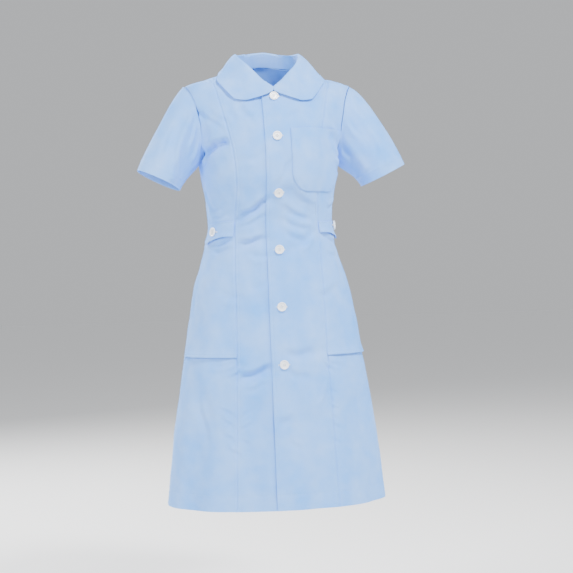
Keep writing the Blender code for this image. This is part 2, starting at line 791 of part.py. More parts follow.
def build_fronts():
    """Both centre fronts: the +X one laps over the other."""
    grid = centre_front_grid()
    panel("front_left", grid)
    under = mirror_grid(grid)
    from_centre = form_point(under[..., 0], under[..., 1])[..., 0]
    depth = LAYER * ramp(from_centre, -OVERLAP - UNDERLAP_RAMP, -OVERLAP)
    panel("front_right", under, -depth)


def split_side_front(grid):
    """Upper and lower side front: the upper one ends at the hip pocket's mouth."""
    upper = grid[SKIRT_ROWS:]
    tuck_heights = (HIP_POCKET_HEIGHT + MOUTH_RAMP, HIP_POCKET_HEIGHT + MOUTH_LAP)
    lower_rows = [row for row in grid[:SKIRT_ROWS + 1]]
    for height in tuck_heights:
        lower_rows.append(level_row(princess_angle(height), math.pi / 2, SIDE_COLUMNS, height))
    return upper, np.array(lower_rows)


def build_side_fronts():
    """Both side fronts, each cut at the mouth of the hip pocket."""
    upper, lower = split_side_front(side_front_grid())
    for side, turned in (("left", False), ("right", True)):
        top = mirror_grid(upper) if turned else upper
        bottom = mirror_grid(lower) if turned else lower
        panel("side_front_" + side + "_upper", top)
        depth = LAYER * ramp(bottom[..., 1], HIP_POCKET_HEIGHT - 2 * MOUTH_RAMP, HIP_POCKET_HEIGHT)
        panel("side_front_" + side + "_lower", bottom, -depth)


def sleeve_loop():
    """Places once round the +X armhole: over the tip, down the front and up the back."""
    front = armhole(back=False)[::-1]
    back = armhole(back=True)
    return np.concatenate((front, back[1:-1]))


def hem_ring(hem, angles):
    """Points of a sleeve's hem at angles from its top towards the front, with its axis."""
    slope = math.radians(hem.slope)
    outward = np.array((math.cos(slope), 0.0, math.sin(slope)))
    forward = np.array((0.0, -1.0, 0.0))
    swing = np.cos(angles)[:, None] * outward * hem.high + np.sin(angles)[:, None] * forward * hem.wide
    centre = np.array((hem.from_centre, -hem.forward, hem.height))
    return centre + swing, np.cross(outward, forward)


def sleeve_leave(hem, degrees):
    """Directions in which a sleeve's cloth leaves the armhole."""
    out = SLEEVE_START.read("out", degrees)
    down = SLEEVE_START.read("down", degrees)
    turn = math.radians(hem.head_turn) * 0.5 * (1 + np.cos(np.radians(degrees)))
    lifted = out * np.cos(turn) + down * np.sin(turn)
    lowered = down * np.cos(turn) - out * np.sin(turn)
    return unit(np.stack((lifted, -SLEEVE_START.read("forward", degrees), -lowered), axis=1))


def sleeve_surface(side):
    """Outer points of a sleeve on the +X side, their normals and the way its first wall runs."""
    hem = SleeveHem(*SLEEVE_HEMS[side])
    places = sleeve_loop()
    count = len(places)
    degrees = 360.0 * np.arange(count) / count
    starts = cloth_point(places[:, 0], places[:, 1])
    normals = form_normal(places[:, 0], places[:, 1])
    tangents = unit(np.roll(starts, -1, axis=0) - np.roll(starts, 1, axis=0))
    outward = np.cross(normals, tangents)
    leave = sleeve_leave(hem, degrees)
    first = starts + SEAM_GAP * leave
    last, axis = hem_ring(hem, np.radians(degrees))
    start_reach = SLEEVE_START.read("start_reach", degrees)[:, None]
    end_reach = SLEEVE_START.read("end_reach", degrees)[:, None]
    near = first + leave * start_reach
    far = last - axis * end_reach
    rows = []
    for along in np.linspace(0.0, 1.0, SLEEVE_ROWS + 1):
        rest = 1 - along
        rows.append(rest ** 3 * first + 3 * rest * rest * along * near
                    + 3 * rest * along * along * far + along ** 3 * last)
    surface = np.array(rows)
    surface_normals = tube_normals(surface)
    surface = surface - surface_normals * sleeve_fold_depth(side, surface)[..., None]
    return surface, tube_normals(surface), seam_walls(leave, normals, outward)


def tube_normals(surface):
    """Outward normals of a tube whose rows go round it and whose columns run along it."""
    around = np.roll(surface, -1, axis=1) - np.roll(surface, 1, axis=1)
    along = np.gradient(surface, axis=0)
    return unit(np.cross(along, around))


def sleeve_fold_depth(side, surface):
    """How far the sleeve's own folds push it in, fading out at the armhole."""
    rows, columns = surface.shape[:2]
    girth = 2 * math.pi * SleeveHem(*SLEEVE_HEMS[side]).wide
    length = float(np.linalg.norm(np.diff(surface, axis=0), axis=-1).sum(axis=0).mean())
    across = np.linspace(0.0, girth, columns, endpoint=False)[None, :]
    along = np.linspace(0.0, length, rows)[:, None]
    lines = []
    for fold in map(SleeveFold._make, SLEEVE_FOLDS[side]):
        start = (fold.start_angle / 360.0 * girth, fold.start_along * length)
        end = (fold.end_angle / 360.0 * girth, fold.end_along * length)
        lines.append((start, end, fold.half_width, fold.depth))
    fade = ramp(along, 0.0, SLEEVE_FOLD_FADE * length)
    return fade * trough(across + 0 * along, along + 0 * across, lines)


def seam_walls(leave, body_normals, outward):
    """Inward wall directions at the armhole, which keep clear of the body panels' rims."""
    sideways = np.einsum("ij,ij->i", leave, outward)
    upward = np.einsum("ij,ij->i", leave, body_normals)
    turn = np.arctan2(upward, sideways)
    own = -np.sin(turn)[:, None] * outward + np.cos(turn)[:, None] * body_normals
    shared = body_normals / np.cos(np.clip(turn, -WALL_LEAN_MOST, 0.0))[:, None]
    return np.where((turn >= 0)[:, None], own, shared)


def draw_in(half):
    """Sleeve half whose first and last columns are drawn in by half the seam gap."""
    drawn = half.copy()
    for edge, neighbour in ((0, 1), (-1, -2)):
        drawn[:, edge] += unit(half[:, neighbour] - half[:, edge]) * SEAM_GAP / 2
    return drawn


def build_sleeves():
    """Both sleeves, from the armholes down to their open hems, in a front and a back half."""
    for side, sign in (("left", 1.0), ("right", -1.0)):
        outer, normals, first_walls = sleeve_surface(side)
        normals[0] = first_walls
        inner = outer - WALL * normals
        around = outer.shape[1]
        middle = around // 2
        for half, columns in (("front", range(middle + 1)), ("back", range(middle, around + 1))):
            picked = [column % around for column in columns]
            walls = [draw_in(face[:, picked]) * (sign, 1.0, 1.0) for face in (outer, inner)]
            if sign > 0:
                walls = [wall[:, ::-1] for wall in walls]
            cloth_wall("sleeve_" + side + "_" + half, *walls)


def collar_lines(angles):
    """Seat, roll line and leaf edge of the collar at angles round the +X half of the neck."""
    degrees = np.degrees(angles)
    heights = neckline_height(angles)
    seat = form_point(angles, heights)
    seat[:, 2] += COLLAR_SEAT
    rise = STAND.read("rise", degrees)
    lean = STAND.read("lean", degrees)
    inward = -np.stack((np.sin(angles), -np.cos(angles), 0 * angles), axis=1)
    roll = seat + inward * lean[:, None]
    roll[:, 2] += rise
    edge_angles = np.radians(LEAF_EDGE.read("leaf_angle", degrees))
    edge_heights = LEAF_EDGE.read("height", degrees)
    edge = cloth_point(edge_angles, edge_heights, COLLAR_CLEARANCE + COLLAR_WALL)
    return seat, roll, edge, -inward


def collar_half():
    """Outer points of the collar's +X half: from the seat over the roll to the leaf's edge."""
    share = np.linspace(0.0, 1.0, COLLAR_HALF_COLUMNS + 1)
    angles = math.pi * share ** COLLAR_COLUMN_EASE
    seat, roll, edge, outward = collar_lines(angles)
    rows = []
    for t in np.linspace(0.0, 1.0, COLLAR_STAND_ROWS + 1)[:-1]:
        rows.append(seat + (roll - seat) * t)
    crown = np.minimum(COLLAR_CROWN, COLLAR_CROWN_SHARE * np.linalg.norm(edge - roll, axis=1))
    control = roll + outward * crown[:, None]
    control[:, 2] += COLLAR_CROWN_RISE * crown
    for t in np.linspace(0.0, 1.0, COLLAR_LEAF_ROWS + 1):
        rows.append((1 - t) ** 2 * roll + 2 * t * (1 - t) * control + t * t * edge)
    return np.array(rows)


def build_collar():
    """Collar in one fall round the neck, its fronts meeting at the centre."""
    half = collar_half()
    half[:, 0, 0] = np.maximum(half[:, 0, 0], SEAM_GAP)
    other = half[:, ::-1].copy()
    other[..., 0] *= -1
    surface = np.concatenate((half, other[:, 1:]), axis=1)
    leaf = slice(COLLAR_STAND_ROWS + 1, None)
    surface[leaf] = onto_form(surface[leaf], COLLAR_CLEARANCE + COLLAR_WALL, pull=False)
    places = surface[leaf]
    normals = form_normal(np.arctan2(places[..., 0], FORM_CENTRE_Y - places[..., 1]), places[..., 2])
    walls = walls_of(COLLAR_CARRIERS)
    surface[leaf] = lift_clear(places - normals * COLLAR_WALL, normals, walls) + normals * COLLAR_WALL
    rows, columns = surface.shape[:2]
    piece = add_object("collar", surface.reshape(-1, 3), grid_faces(rows, columns, 0, False), "cloth")
    wall = piece.modifiers.new("wall", "SOLIDIFY")
    wall.thickness = COLLAR_WALL
    wall.offset = -1.0
    wall.use_even_offset = True


def lay_on(name, grid, carriers):
    """Piece that lies on others: an open surface just above their walls, thickened outwards."""
    points = settle_grid(grid, walls_of(carriers), LAY_ON_GAP)
    rows, columns = points.shape[:2]
    piece = add_object(name, points.reshape(-1, 3), grid_faces(rows, columns, 0, False), "cloth")
    wall = piece.modifiers.new("wall", "SOLIDIFY")
    wall.thickness = WALL
    wall.offset = 1.0
    wall.use_even_offset = True


def build_chest_pocket():
    """Patch pocket on the wearer's left, with two rounded lower corners."""
    turn = np.linspace(0.0, math.pi / 2, POCKET_CORNER_ROWS + 1)
    corner_heights = POCKET_BOTTOM + POCKET_CORNER * (1 - np.cos(turn))
    straight_rows = POCKET_ROWS - POCKET_CORNER_ROWS
    straight = np.linspace(POCKET_BOTTOM + POCKET_CORNER, POCKET_TOP, straight_rows + 1)[1:]
    heights = np.concatenate((corner_heights, straight))
    drop = np.clip((POCKET_BOTTOM + POCKET_CORNER - heights) / POCKET_CORNER, 0.0, 1.0)
    pulled_in = POCKET_CORNER * (1 - np.sqrt(1 - drop ** 2))
    rows = []
    for height, pull in zip(heights, pulled_in):
        start = edge_angle(POCKET_INNER, height)
        radius = float(ring_radius(np.array(POCKET_OUTER_ANGLE), np.array(height)))
        turned = pull / radius
        rows.append(level_row(start + turned, POCKET_OUTER_ANGLE - turned, POCKET_COLUMNS, height))
    lay_on("chest_pocket", np.array(rows), ("front_left", "side_front_left_upper"))


def build_waist_tabs():
    """Tabs that run from the princess seams to the sides, with rounded free ends."""
    seam_angle = princess_angle(TAB_HEIGHT)
    start = seam_angle + TAB_FROM_SEAM / float(ring_radius(np.array(seam_angle), np.array(TAB_HEIGHT)))
    share = np.linspace(0.0, 1.0, TAB_COLUMNS + 1)
    angles = start + (TAB_END_ANGLE - start) * share
    end_run = np.clip((share - 1 + TAB_END_SHARE) / TAB_END_SHARE, 0.0, 1.0)
    rounding = 1 - TAB_ROUNDING * (1 - np.sqrt(1 - end_run ** 2))
    for side, edges in TAB_EDGES.items():
        table = Table(TAB_EDGE_COLUMNS, edges)
        low, top = table.read("low", share), table.read("top", share)
        middle, half_depth = 0.5 * (low + top), 0.5 * (top - low) * rounding
        rows = []
        for t in np.linspace(-1.0, 1.0, TAB_ROWS + 1):
            rows.append(np.stack((angles, TAB_HEIGHT + middle + t * half_depth), axis=1))
        grid = np.array(rows) if side == "left" else mirror_grid(np.array(rows))
        lay_on("waist_tab_" + side, grid, ("side_front_" + side + "_upper",))


def button_profile():
    """Half outline of a button from its raised rim's top down its outer side to its flat back."""
    top = BUTTON_THICKNESS
    return (
        (0.0, top - BUTTON_DISH),
        (BUTTON_RADIUS - 2 * BUTTON_RIM, top - BUTTON_DISH),
        (BUTTON_RADIUS - BUTTON_RIM, top),
        (BUTTON_RADIUS - 0.3 * BUTTON_RIM, top - 0.2 * BUTTON_RIM),
        (BUTTON_RADIUS, 0.5 * top),
        (BUTTON_RADIUS - 0.4 * BUTTON_RIM, 0.0),
        (0.0, 0.0),
    )


def build_button(name, angle, height, layer, carrier):
    """Turned button, seated so many layers above the wall of the piece that carries it."""
    place = (np.array(angle), np.array(height))
    normal = form_normal(*place)
    point = settle(cloth_point(*place), normal, walls_of((carrier,)), layer + BUTTON_SEAT)
    profile = [(radius, 0.0, height) for radius, height in button_profile()]
    edges = [(place, place + 1) for place in range(len(profile) - 1)]
    mesh = bpy.data.meshes.new(name)
    mesh.from_pydata(profile, edges, [])
    mesh.materials.append(finish_material("button"))
    piece = bpy.data.objects.new(name, mesh)
    bpy.data.collections[DRESS_NAME].objects.link(piece)
    turned = piece.modifiers.new("turned", "SCREW")
    turned.axis = "Z"
    turned.steps = BUTTON_STEPS
    turned.render_steps = BUTTON_STEPS
    turned.use_merge_vertices = True
    turned.merge_threshold = 0.0001
    turned.use_smooth_shade = False
    facing = Vector(normal).to_track_quat("Z", "Y").to_matrix().to_4x4()
    piece.matrix_world = Matrix.Translation(Vector(point)) @ facing


def build_buttons():
    """Six buttons down the front and one on each tab."""
    for number, height in enumerate(BUTTON_HEIGHTS, start=1):
        build_button("button_" + str(number), 0.0, height, 0.0, "front_left")
    for side, (angle, height) in TAB_BUTTONS.items():
        build_button("tab_button_" + side, angle, height, WALL + TAB_BUTTON_RISE, "waist_tab_" + side)


def main():
    """Build the whole dress."""
    for item in list(bpy.data.objects):
        bpy.data.objects.remove(item, do_unlink=True)
    dress = bpy.data.collections.new(DRESS_NAME)
    bpy.context.scene.collection.children.link(dress)
    build_fronts()
    build_side_fronts()
    panel("back", back_grid())
    build_sleeves()
    build_collar()
    build_chest_pocket()
    build_waist_tabs()
    build_buttons()


main()
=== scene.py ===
"""Looks of a short-sleeved uniform dress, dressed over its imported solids.

Every cloth piece is a thin shell on the same worn form as its solid, read at an angle round
the body (0 at centre front, 90 degrees at the +X side seam) and at a height. Small creases,
seams, turned edges, topstitching and buttons are made here. All sizes are metres.
"""
import logging
import math
from dataclasses import dataclass
from enum import Enum
from typing import NamedTuple, Sequence

import bpy
import numpy as np
from mathutils import Matrix, Vector


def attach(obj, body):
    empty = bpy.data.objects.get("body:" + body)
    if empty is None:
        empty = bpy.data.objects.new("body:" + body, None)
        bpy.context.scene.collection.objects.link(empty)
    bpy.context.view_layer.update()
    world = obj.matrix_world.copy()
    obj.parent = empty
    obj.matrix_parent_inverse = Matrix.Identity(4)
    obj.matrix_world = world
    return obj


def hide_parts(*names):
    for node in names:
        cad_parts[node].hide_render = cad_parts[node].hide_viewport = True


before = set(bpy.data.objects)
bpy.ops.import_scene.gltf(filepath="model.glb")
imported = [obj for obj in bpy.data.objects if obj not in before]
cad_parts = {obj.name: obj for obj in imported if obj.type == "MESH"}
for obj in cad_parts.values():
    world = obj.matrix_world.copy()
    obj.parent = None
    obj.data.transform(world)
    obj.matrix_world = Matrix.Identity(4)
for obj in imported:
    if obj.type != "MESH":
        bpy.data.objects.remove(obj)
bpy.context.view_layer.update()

LOG = logging.getLogger("dress")
Array = np.ndarray

# Heights and lines shared with the solids
ARMPIT_HEIGHT = -0.212
HIP_POCKET_HEIGHT = -0.643
HEM_HEIGHT = -0.969
NECK_FRONT_DROP = 0.061
NECK_BACK_RISE = 0.012
NECK_V_SHARE = 0.65
FORM_CENTRE_Y = 0.003
ARMHOLE_TOP = -0.044
ARMHOLE_REACH = 0.052
OVERLAP = 0.027
UNDERLAP_RAMP = 0.016
LAYER = 0.0018
MOUTH_LAP = 0.026
MOUTH_RAMP = 0.014

# Cloth and sewing
SHELL = 0.0009
STEP = 0.0030
BACK_STEP = 0.0042
EDGE_MARKS = (0.0, 0.0008, 0.0017, 0.0028, 0.0040, 0.0052, 0.0064, 0.0078, 0.0095, 0.0120)
CURVE_SAMPLES = 500
FORM_PASSES = 6
SLOPE_STEP = 1e-4
STITCH_PITCH = 0.0033
STITCH_SIZE = (0.00125, 0.00030, 0.00024)
HEM_TURN = 0.033
SLEEVE_TURN = 0.021
SEAM_TOPSTITCH = 0.0065

FORM_RINGS = (
    (0.020, 0.059, 0.050, 0.055, 2.0),
    (0.000, 0.076, 0.058, 0.068, 2.0),
    (-0.014, 0.100, 0.063, 0.074, 2.0),
    (-0.032, 0.150, 0.072, 0.083, 2.0),
    (-0.044, 0.188, 0.077, 0.088, 2.0),
    (-0.060, 0.1905, 0.084, 0.093, 2.05),
    (-0.100, 0.187, 0.100, 0.103, 2.1),
    (-0.140, 0.175, 0.115, 0.107, 2.15),
    (-0.180, 0.165, 0.126, 0.107, 2.2),
    (-0.212, 0.158, 0.131, 0.106, 2.2),
    (-0.250, 0.1515, 0.132, 0.100, 2.2),
    (-0.300, 0.143, 0.121, 0.091, 2.2),
    (-0.3555, 0.1384, 0.108, 0.086, 2.2),
    (-0.400, 0.146, 0.111, 0.094, 2.2),
    (-0.4815, 0.172, 0.119, 0.115, 2.2),
    (-0.5535, 0.187, 0.125, 0.130, 2.2),
    (-0.6435, 0.201, 0.135, 0.138, 2.2),
    (-0.7515, 0.219, 0.145, 0.148, 2.2),
    (-0.8595, 0.233, 0.156, 0.157, 2.2),
    (-1.000, 0.248, 0.168, 0.167, 2.2),
)
PRINCESS_SEAM = (
    (-0.020, 0.131), (-0.035, 0.130), (-0.062, 0.124), (-0.100, 0.1155), (-0.140, 0.107),
    (-0.200, 0.0955), (-0.280, 0.090), (-0.3555, 0.094), (-0.643, 0.1005), (-0.775, 0.106),
    (-0.970, 0.113),
)


class Trough(NamedTuple):
    """A soft trough between two places, or a ridge where its depth is less than 0."""

    start_angle: float
    start_height: float
    end_angle: float
    end_height: float
    half_width: float
    depth: float


# The large folds of the solids, then the small creases that only the shells carry
FOLDS = (
    (-80.0, -0.200, -50.0, -0.178, 0.011, 0.0060),
    (80.0, -0.200, 56.0, -0.165, 0.012, 0.0035),
    (-10.0, -0.305, -43.0, -0.340, 0.012, 0.0016),
    (4.0, -0.284, 38.0, -0.336, 0.012, 0.0020),
    (-15.0, -0.391, -42.0, -0.401, 0.012, 0.0022),
    (12.0, -0.414, 36.0, -0.382, 0.013, 0.0020),
    (-14.0, -0.672, -37.0, -0.690, 0.014, 0.0025),
    (10.0, -0.640, 34.0, -0.632, 0.016, 0.0018),
    (-25.0, -0.760, -27.0, -0.985, 0.030, 0.0040),
    (22.0, -0.790, 24.0, -0.985, 0.030, 0.0035),
    (-62.0, -0.740, -64.0, -0.985, 0.034, 0.0050),
    (61.0, -0.760, 63.0, -0.985, 0.034, 0.0045),
    (112.0, -0.700, 114.0, -0.985, 0.036, 0.0050),
    (146.0, -0.720, 148.0, -0.985, 0.036, 0.0050),
    (-176.0, -0.690, -178.0, -0.985, 0.036, 0.0045),
    (-140.0, -0.730, -142.0, -0.985, 0.036, 0.0050),
    (-108.0, -0.710, -110.0, -0.985, 0.036, 0.0050),
    (100.0, -0.205, 128.0, -0.168, 0.014, 0.0040),
    (-100.0, -0.205, -128.0, -0.168, 0.014, 0.0040),
    (122.0, -0.330, 158.0, -0.352, 0.014, 0.0030),
    (-122.0, -0.335, -156.0, -0.350, 0.014, 0.0030),
    (128.0, -0.395, 165.0, -0.382, 0.014, 0.0026),
    (-130.0, -0.388, -163.0, -0.380, 0.014, 0.0026),
)
CREASES = (
    (-76.5, -0.222, -65.5, -0.188, 0.0060, 0.0030),
    (-66.5, -0.190, -56.5, -0.176, 0.0060, 0.0030),
    (-58.5, -0.177, -46.5, -0.175, 0.0055, 0.0022),
    (-48.0, -0.349, -30.5, -0.330, 0.0060, 0.0012),
    (-34.0, -0.335, -11.5, -0.305, 0.0060, 0.0028),
    (-1.5, -0.275, 13.0, -0.220, 0.0065, 0.0010),
    (11.0, -0.284, 43.5, -0.329, 0.0070, 0.0010),
    (-77.5, -0.086, -68.0, -0.126, 0.0050, 0.0010),
    (-73.0, -0.101, -51.5, -0.152, 0.0060, 0.0012),
    (-67.0, -0.102, -46.0, -0.142, 0.0055, 0.0008),
    (-39.5, -0.098, -25.5, -0.135, 0.0060, 0.0010),
    (-50.0, -0.097, -40.5, -0.134, 0.0050, 0.0007),
    (-37.0, -0.686, -12.0, -0.667, 0.0070, 0.0024),
    (2.0, -0.640, 28.5, -0.640, 0.0090, 0.0013),
    (-10.5, -0.777, 5.0, -0.789, 0.0120, 0.0012),
    (28.0, -0.749, 36.5, -0.699, 0.0040, -0.0010),
    (25.0, -0.418, 42.0, -0.383, 0.0060, -0.0012),
    (37.5, -0.714, 42.5, -0.728, 0.0030, 0.0006),
    (37.0, -0.735, 41.0, -0.748, 0.0026, 0.0004),
    (36.5, -0.751, 43.5, -0.765, 0.0034, 0.0007),
    (36.5, -0.772, 41.0, -0.783, 0.0028, 0.0004),
    (36.5, -0.788, 43.0, -0.804, 0.0034, 0.0006),
    (36.0, -0.824, 41.5, -0.834, 0.0030, 0.0005),
    (-35.0, -0.796, -27.5, -0.784, 0.0038, 0.0008),
    (-35.0, -0.817, -29.0, -0.830, 0.0038, 0.0008),
    (-36.0, -0.771, -29.0, -0.756, 0.0038, 0.0007),
    (-49.5, -0.768, -40.5, -0.794, 0.0040, 0.0009),
    (-52.0, -0.747, -41.5, -0.766, 0.0040, 0.0008),
    (-47.5, -0.800, -40.5, -0.821, 0.0040, 0.0008),
    (-44.5, -0.832, -35.5, -0.855, 0.0045, 0.0008),
    (-41.5, -0.400, -19.0, -0.390, 0.0060, 0.0012),
    (6.0, -0.374, 30.5, -0.399, 0.0070, 0.0010),
    (-86.0, -0.273, -76.0, -0.328, 0.0060, -0.0010),
    (-67.0, -0.729, -57.5, -0.818, 0.0070, 0.0010),
    (-32.0, -0.716, -15.0, -0.700, 0.0060, 0.0009),
    (1.5, -0.676, 24.0, -0.695, 0.0080, 0.0009),
    (2.0, -0.820, 9.5, -0.847, 0.0070, 0.0008),
    (74.0, -0.212, 58.0, -0.196, 0.0060, 0.0012),
    (77.0, -0.238, 62.0, -0.226, 0.0060, 0.0010),
    (66.0, -0.150, 57.0, -0.118, 0.0060, 0.0008),
    (-60.0, -0.322, -80.0, -0.312, 0.0060, 0.0012),
    (-54.0, -0.336, -74.0, -0.334, 0.0050, 0.0010),
    (58.0, -0.322, 78.0, -0.312, 0.0060, 0.0011),
    (-42.0, -0.363, -14.0, -0.339, 0.0050, 0.0010),
    (-41.5, -0.395, -14.5, -0.386, 0.0055, 0.0012),
    (4.0, -0.322, 39.5, -0.353, 0.0060, 0.0012),
    (6.5, -0.352, 41.5, -0.374, 0.0060, 0.0011),
    (-70.0, -0.399, -49.5, -0.388, 0.0055, 0.0018),
    (-71.5, -0.412, -49.0, -0.410, 0.0055, 0.0014),
    (51.0, -0.383, 80.0, -0.400, 0.0055, 0.0018),
    (52.0, -0.420, 70.0, -0.432, 0.0060, 0.0011),
    (-10.0, -0.428, -34.0, -0.420, 0.0070, 0.0010),
    (-8.0, -0.470, -30.0, -0.500, 0.0080, 0.0007),
    (-36.0, -0.520, -58.0, -0.500, 0.0080, 0.0010),
    (36.0, -0.516, 60.0, -0.498, 0.0080, 0.0010),
    (-33.0, -0.660, -42.0, -0.684, 0.0045, 0.0012),
    (-36.0, -0.656, -49.0, -0.676, 0.0045, 0.0010),
    (-40.0, -0.654, -58.0, -0.664, 0.0045, 0.0008),
    (35.0, -0.660, 44.0, -0.682, 0.0045, 0.0010),
    (38.0, -0.656, 52.0, -0.672, 0.0045, 0.0008),
    (10.0, -0.128, 28.0, -0.112, 0.0070, 0.0007),
    (-10.0, -0.202, -34.0, -0.222, 0.0080, 0.0008),
    (98.0, -0.236, 122.0, -0.206, 0.0080, 0.0018),
    (-98.0, -0.238, -124.0, -0.204, 0.0080, 0.0018),
    (108.0, -0.178, 128.0, -0.136, 0.0080, 0.0014),
    (-106.0, -0.176, -130.0, -0.138, 0.0080, 0.0014),
    (140.0, -0.120, 172.0, -0.108, 0.0090, 0.0012),
    (-142.0, -0.124, -170.0, -0.110, 0.0090, 0.0012),
    (104.0, -0.316, 140.0, -0.330, 0.0080, 0.0016),
    (-104.0, -0.318, -138.0, -0.330, 0.0080, 0.0016),
    (150.0, -0.362, 184.0, -0.356, 0.0080, 0.0016),
    (112.0, -0.372, 146.0, -0.378, 0.0080, 0.0016),
    (-110.0, -0.374, -150.0, -0.378, 0.0080, 0.0016),
    (140.0, -0.412, 176.0, -0.404, 0.0090, 0.0012),
    (-136.0, -0.418, -168.0, -0.408, 0.0090, 0.0012),
    (118.0, -0.560, 146.0, -0.590, 0.0110, 0.0014),
    (-116.0, -0.566, -148.0, -0.592, 0.0110, 0.0014),
    (152.0, -0.620, 186.0, -0.604, 0.0110, 0.0012),
)


class HemRing(NamedTuple):
    """The ring of a sleeve's hem, and how far the sleeve's head is turned."""

    from_centre: float
    forward: float
    height: float
    slope: float
    high: float
    wide: float
    head_turn: float


SLEEVE_HEMS = {
    "left": (0.2585, 0.0120, -0.2452, 26.1, 0.0556, 0.0560, 13.0),
    "right": (0.2489, 0.0120, -0.2521, 25.8, 0.0515, 0.0530, -14.0),
}
SLEEVE_STARTS = (
    (0.0, 0.92, 0.00, 0.38, 0.032, 0.063),
    (45.0, 0.70, 0.10, 0.70, 0.038, 0.056),
    (90.0, 0.74, 0.10, 0.62, 0.045, 0.050),
    (135.0, 0.72, 0.06, 0.66, 0.030, 0.040),
    (180.0, 0.74, 0.00, 0.67, 0.022, 0.030),
    (225.0, 0.72, -0.06, 0.66, 0.030, 0.040),
    (270.0, 0.76, -0.10, 0.60, 0.045, 0.050),
    (315.0, 0.70, -0.10, 0.70, 0.038, 0.056),
)
SLEEVE_FOLDS = {
    "left": (
        (50.0, 0.10, 78.0, 0.85, 0.010, 0.0035),
        (118.0, 0.05, 130.0, 0.70, 0.009, 0.0030),
        (300.0, 0.15, 285.0, 0.80, 0.011, 0.0030),
    ),
    "right": (
        (66.0, 0.08, 112.0, 0.90, 0.010, 0.0050),
        (30.0, 0.12, 44.0, 0.60, 0.010, 0.0025),
        (296.0, 0.10, 280.0, 0.75, 0.011, 0.0030),
    ),
}
SLEEVE_CREASES = {
    "left": (
        (92.0, 0.04, 98.0, 0.34, 0.0050, 0.0012),
        (140.0, 0.04, 150.0, 0.36, 0.0050, 0.0014),
        (66.0, 0.55, 100.0, 0.86, 0.0060, 0.0009),
        (20.0, 0.20, 28.0, 0.52, 0.0060, 0.0008),
        (250.0, 0.08, 262.0, 0.42, 0.0060, 0.0014),
        (330.0, 0.20, 322.0, 0.60, 0.0060, 0.0010),
    ),
    "right": (
        (88.0, 0.03, 112.0, 0.30, 0.0045, 0.0018),
        (124.0, 0.05, 142.0, 0.42, 0.0050, 0.0016),
        (84.0, 0.42, 128.0, 0.82, 0.0060, 0.0012),
        (48.0, 0.30, 70.0, 0.74, 0.0060, 0.0009),
        (250.0, 0.08, 262.0, 0.42, 0.0060, 0.0014),
        (330.0, 0.20, 322.0, 0.60, 0.0060, 0.0010),
    ),
}
COLLAR_STAND = (
    (0.0, 0.0040, 0.0020), (15.0, 0.0090, 0.0022), (40.0, 0.0190, 0.0028),
    (65.0, 0.0260, 0.0040), (90.0, 0.0290, 0.0055), (130.0, 0.0300, 0.0085),
    (180.0, 0.0300, 0.0100),
)
COLLAR_EDGE = (
    (0.0, 0.9, -0.0665), (6.0, 5.5, -0.0700), (14.0, 12.5, -0.0745), (26.0, 23.0, -0.0815),
    (42.0, 34.0, -0.0870), (56.0, 44.0, -0.0840), (68.0, 52.0, -0.0700), (80.0, 61.0, -0.0480),
    (90.0, 75.0, -0.0235), (100.0, 90.0, -0.0160), (112.0, 107.0, -0.0205),
    (124.0, 121.0, -0.0280), (140.0, 139.0, -0.0310), (180.0, 180.0, -0.0310),
)
BUTTON_HEIGHTS = (-0.0765, -0.166, -0.290, -0.412, -0.536, -0.6605)
TAB_HEIGHT = -0.364
TAB_EDGES = {
    "left": ((0.00, -0.0110, 0.0130), (0.35, -0.0130, 0.0145), (0.65, -0.0180, 0.0165),
             (1.00, -0.0280, 0.0180)),
    "right": ((0.00, -0.0170, 0.0170), (0.35, -0.0190, 0.0165), (0.65, -0.0255, 0.0140),
              (1.00, -0.0370, 0.0120)),
}
TAB_BUTTONS = {"left": (math.radians(76.5), -0.3575), "right": (math.radians(-72.0), -0.3695)}
FOLD_GAIN = 1.9
CREASE_GAIN = 2.6
SLEEVE_CREASE_GAIN = 1.8

# How the cloth's colour varies: clouds of two sizes, uneven yarn and single threads
WIDE_CLOUD_SCALE, WIDE_CLOUD_GAIN = 7.0, 2.0
CLOSE_CLOUD_SCALE, CLOSE_CLOUD_GAIN = 27.0, 1.6
CLOUD_OFFSET = -1.3
CLOUD_SHARE = 0.75
SLUB_SCALE = 420.0
THREAD_SHARE = 0.14


class Edge(Enum):
    """One edge of a cloth grid, as seen from its outer side."""

    LEFT = "left"
    RIGHT = "right"
    BOTTOM = "bottom"
    TOP = "top"


class Sewing(Enum):
    """How an edge is finished: dip, its half width, groove's inset, groove's depth, ridge."""

    PLAIN_SEAM = (0.0013, 0.0018, 0.0, 0.0, 0.0)
    TOPSTITCHED_SEAM = (0.0017, 0.0021, SEAM_TOPSTITCH, 0.00055, 0.00045)
    SEAM_UNDER = (0.0016, 0.0024, 0.0, 0.0, 0.0)
    STITCHED_FOLD = (0.0004, 0.0008, 0.0055, 0.00050, 0.00035)
    HEM = (0.0002, 0.0010, HEM_TURN, 0.00065, 0.0)
    SLEEVE_HEM = (0.0002, 0.0010, SLEEVE_TURN, 0.00080, 0.0)


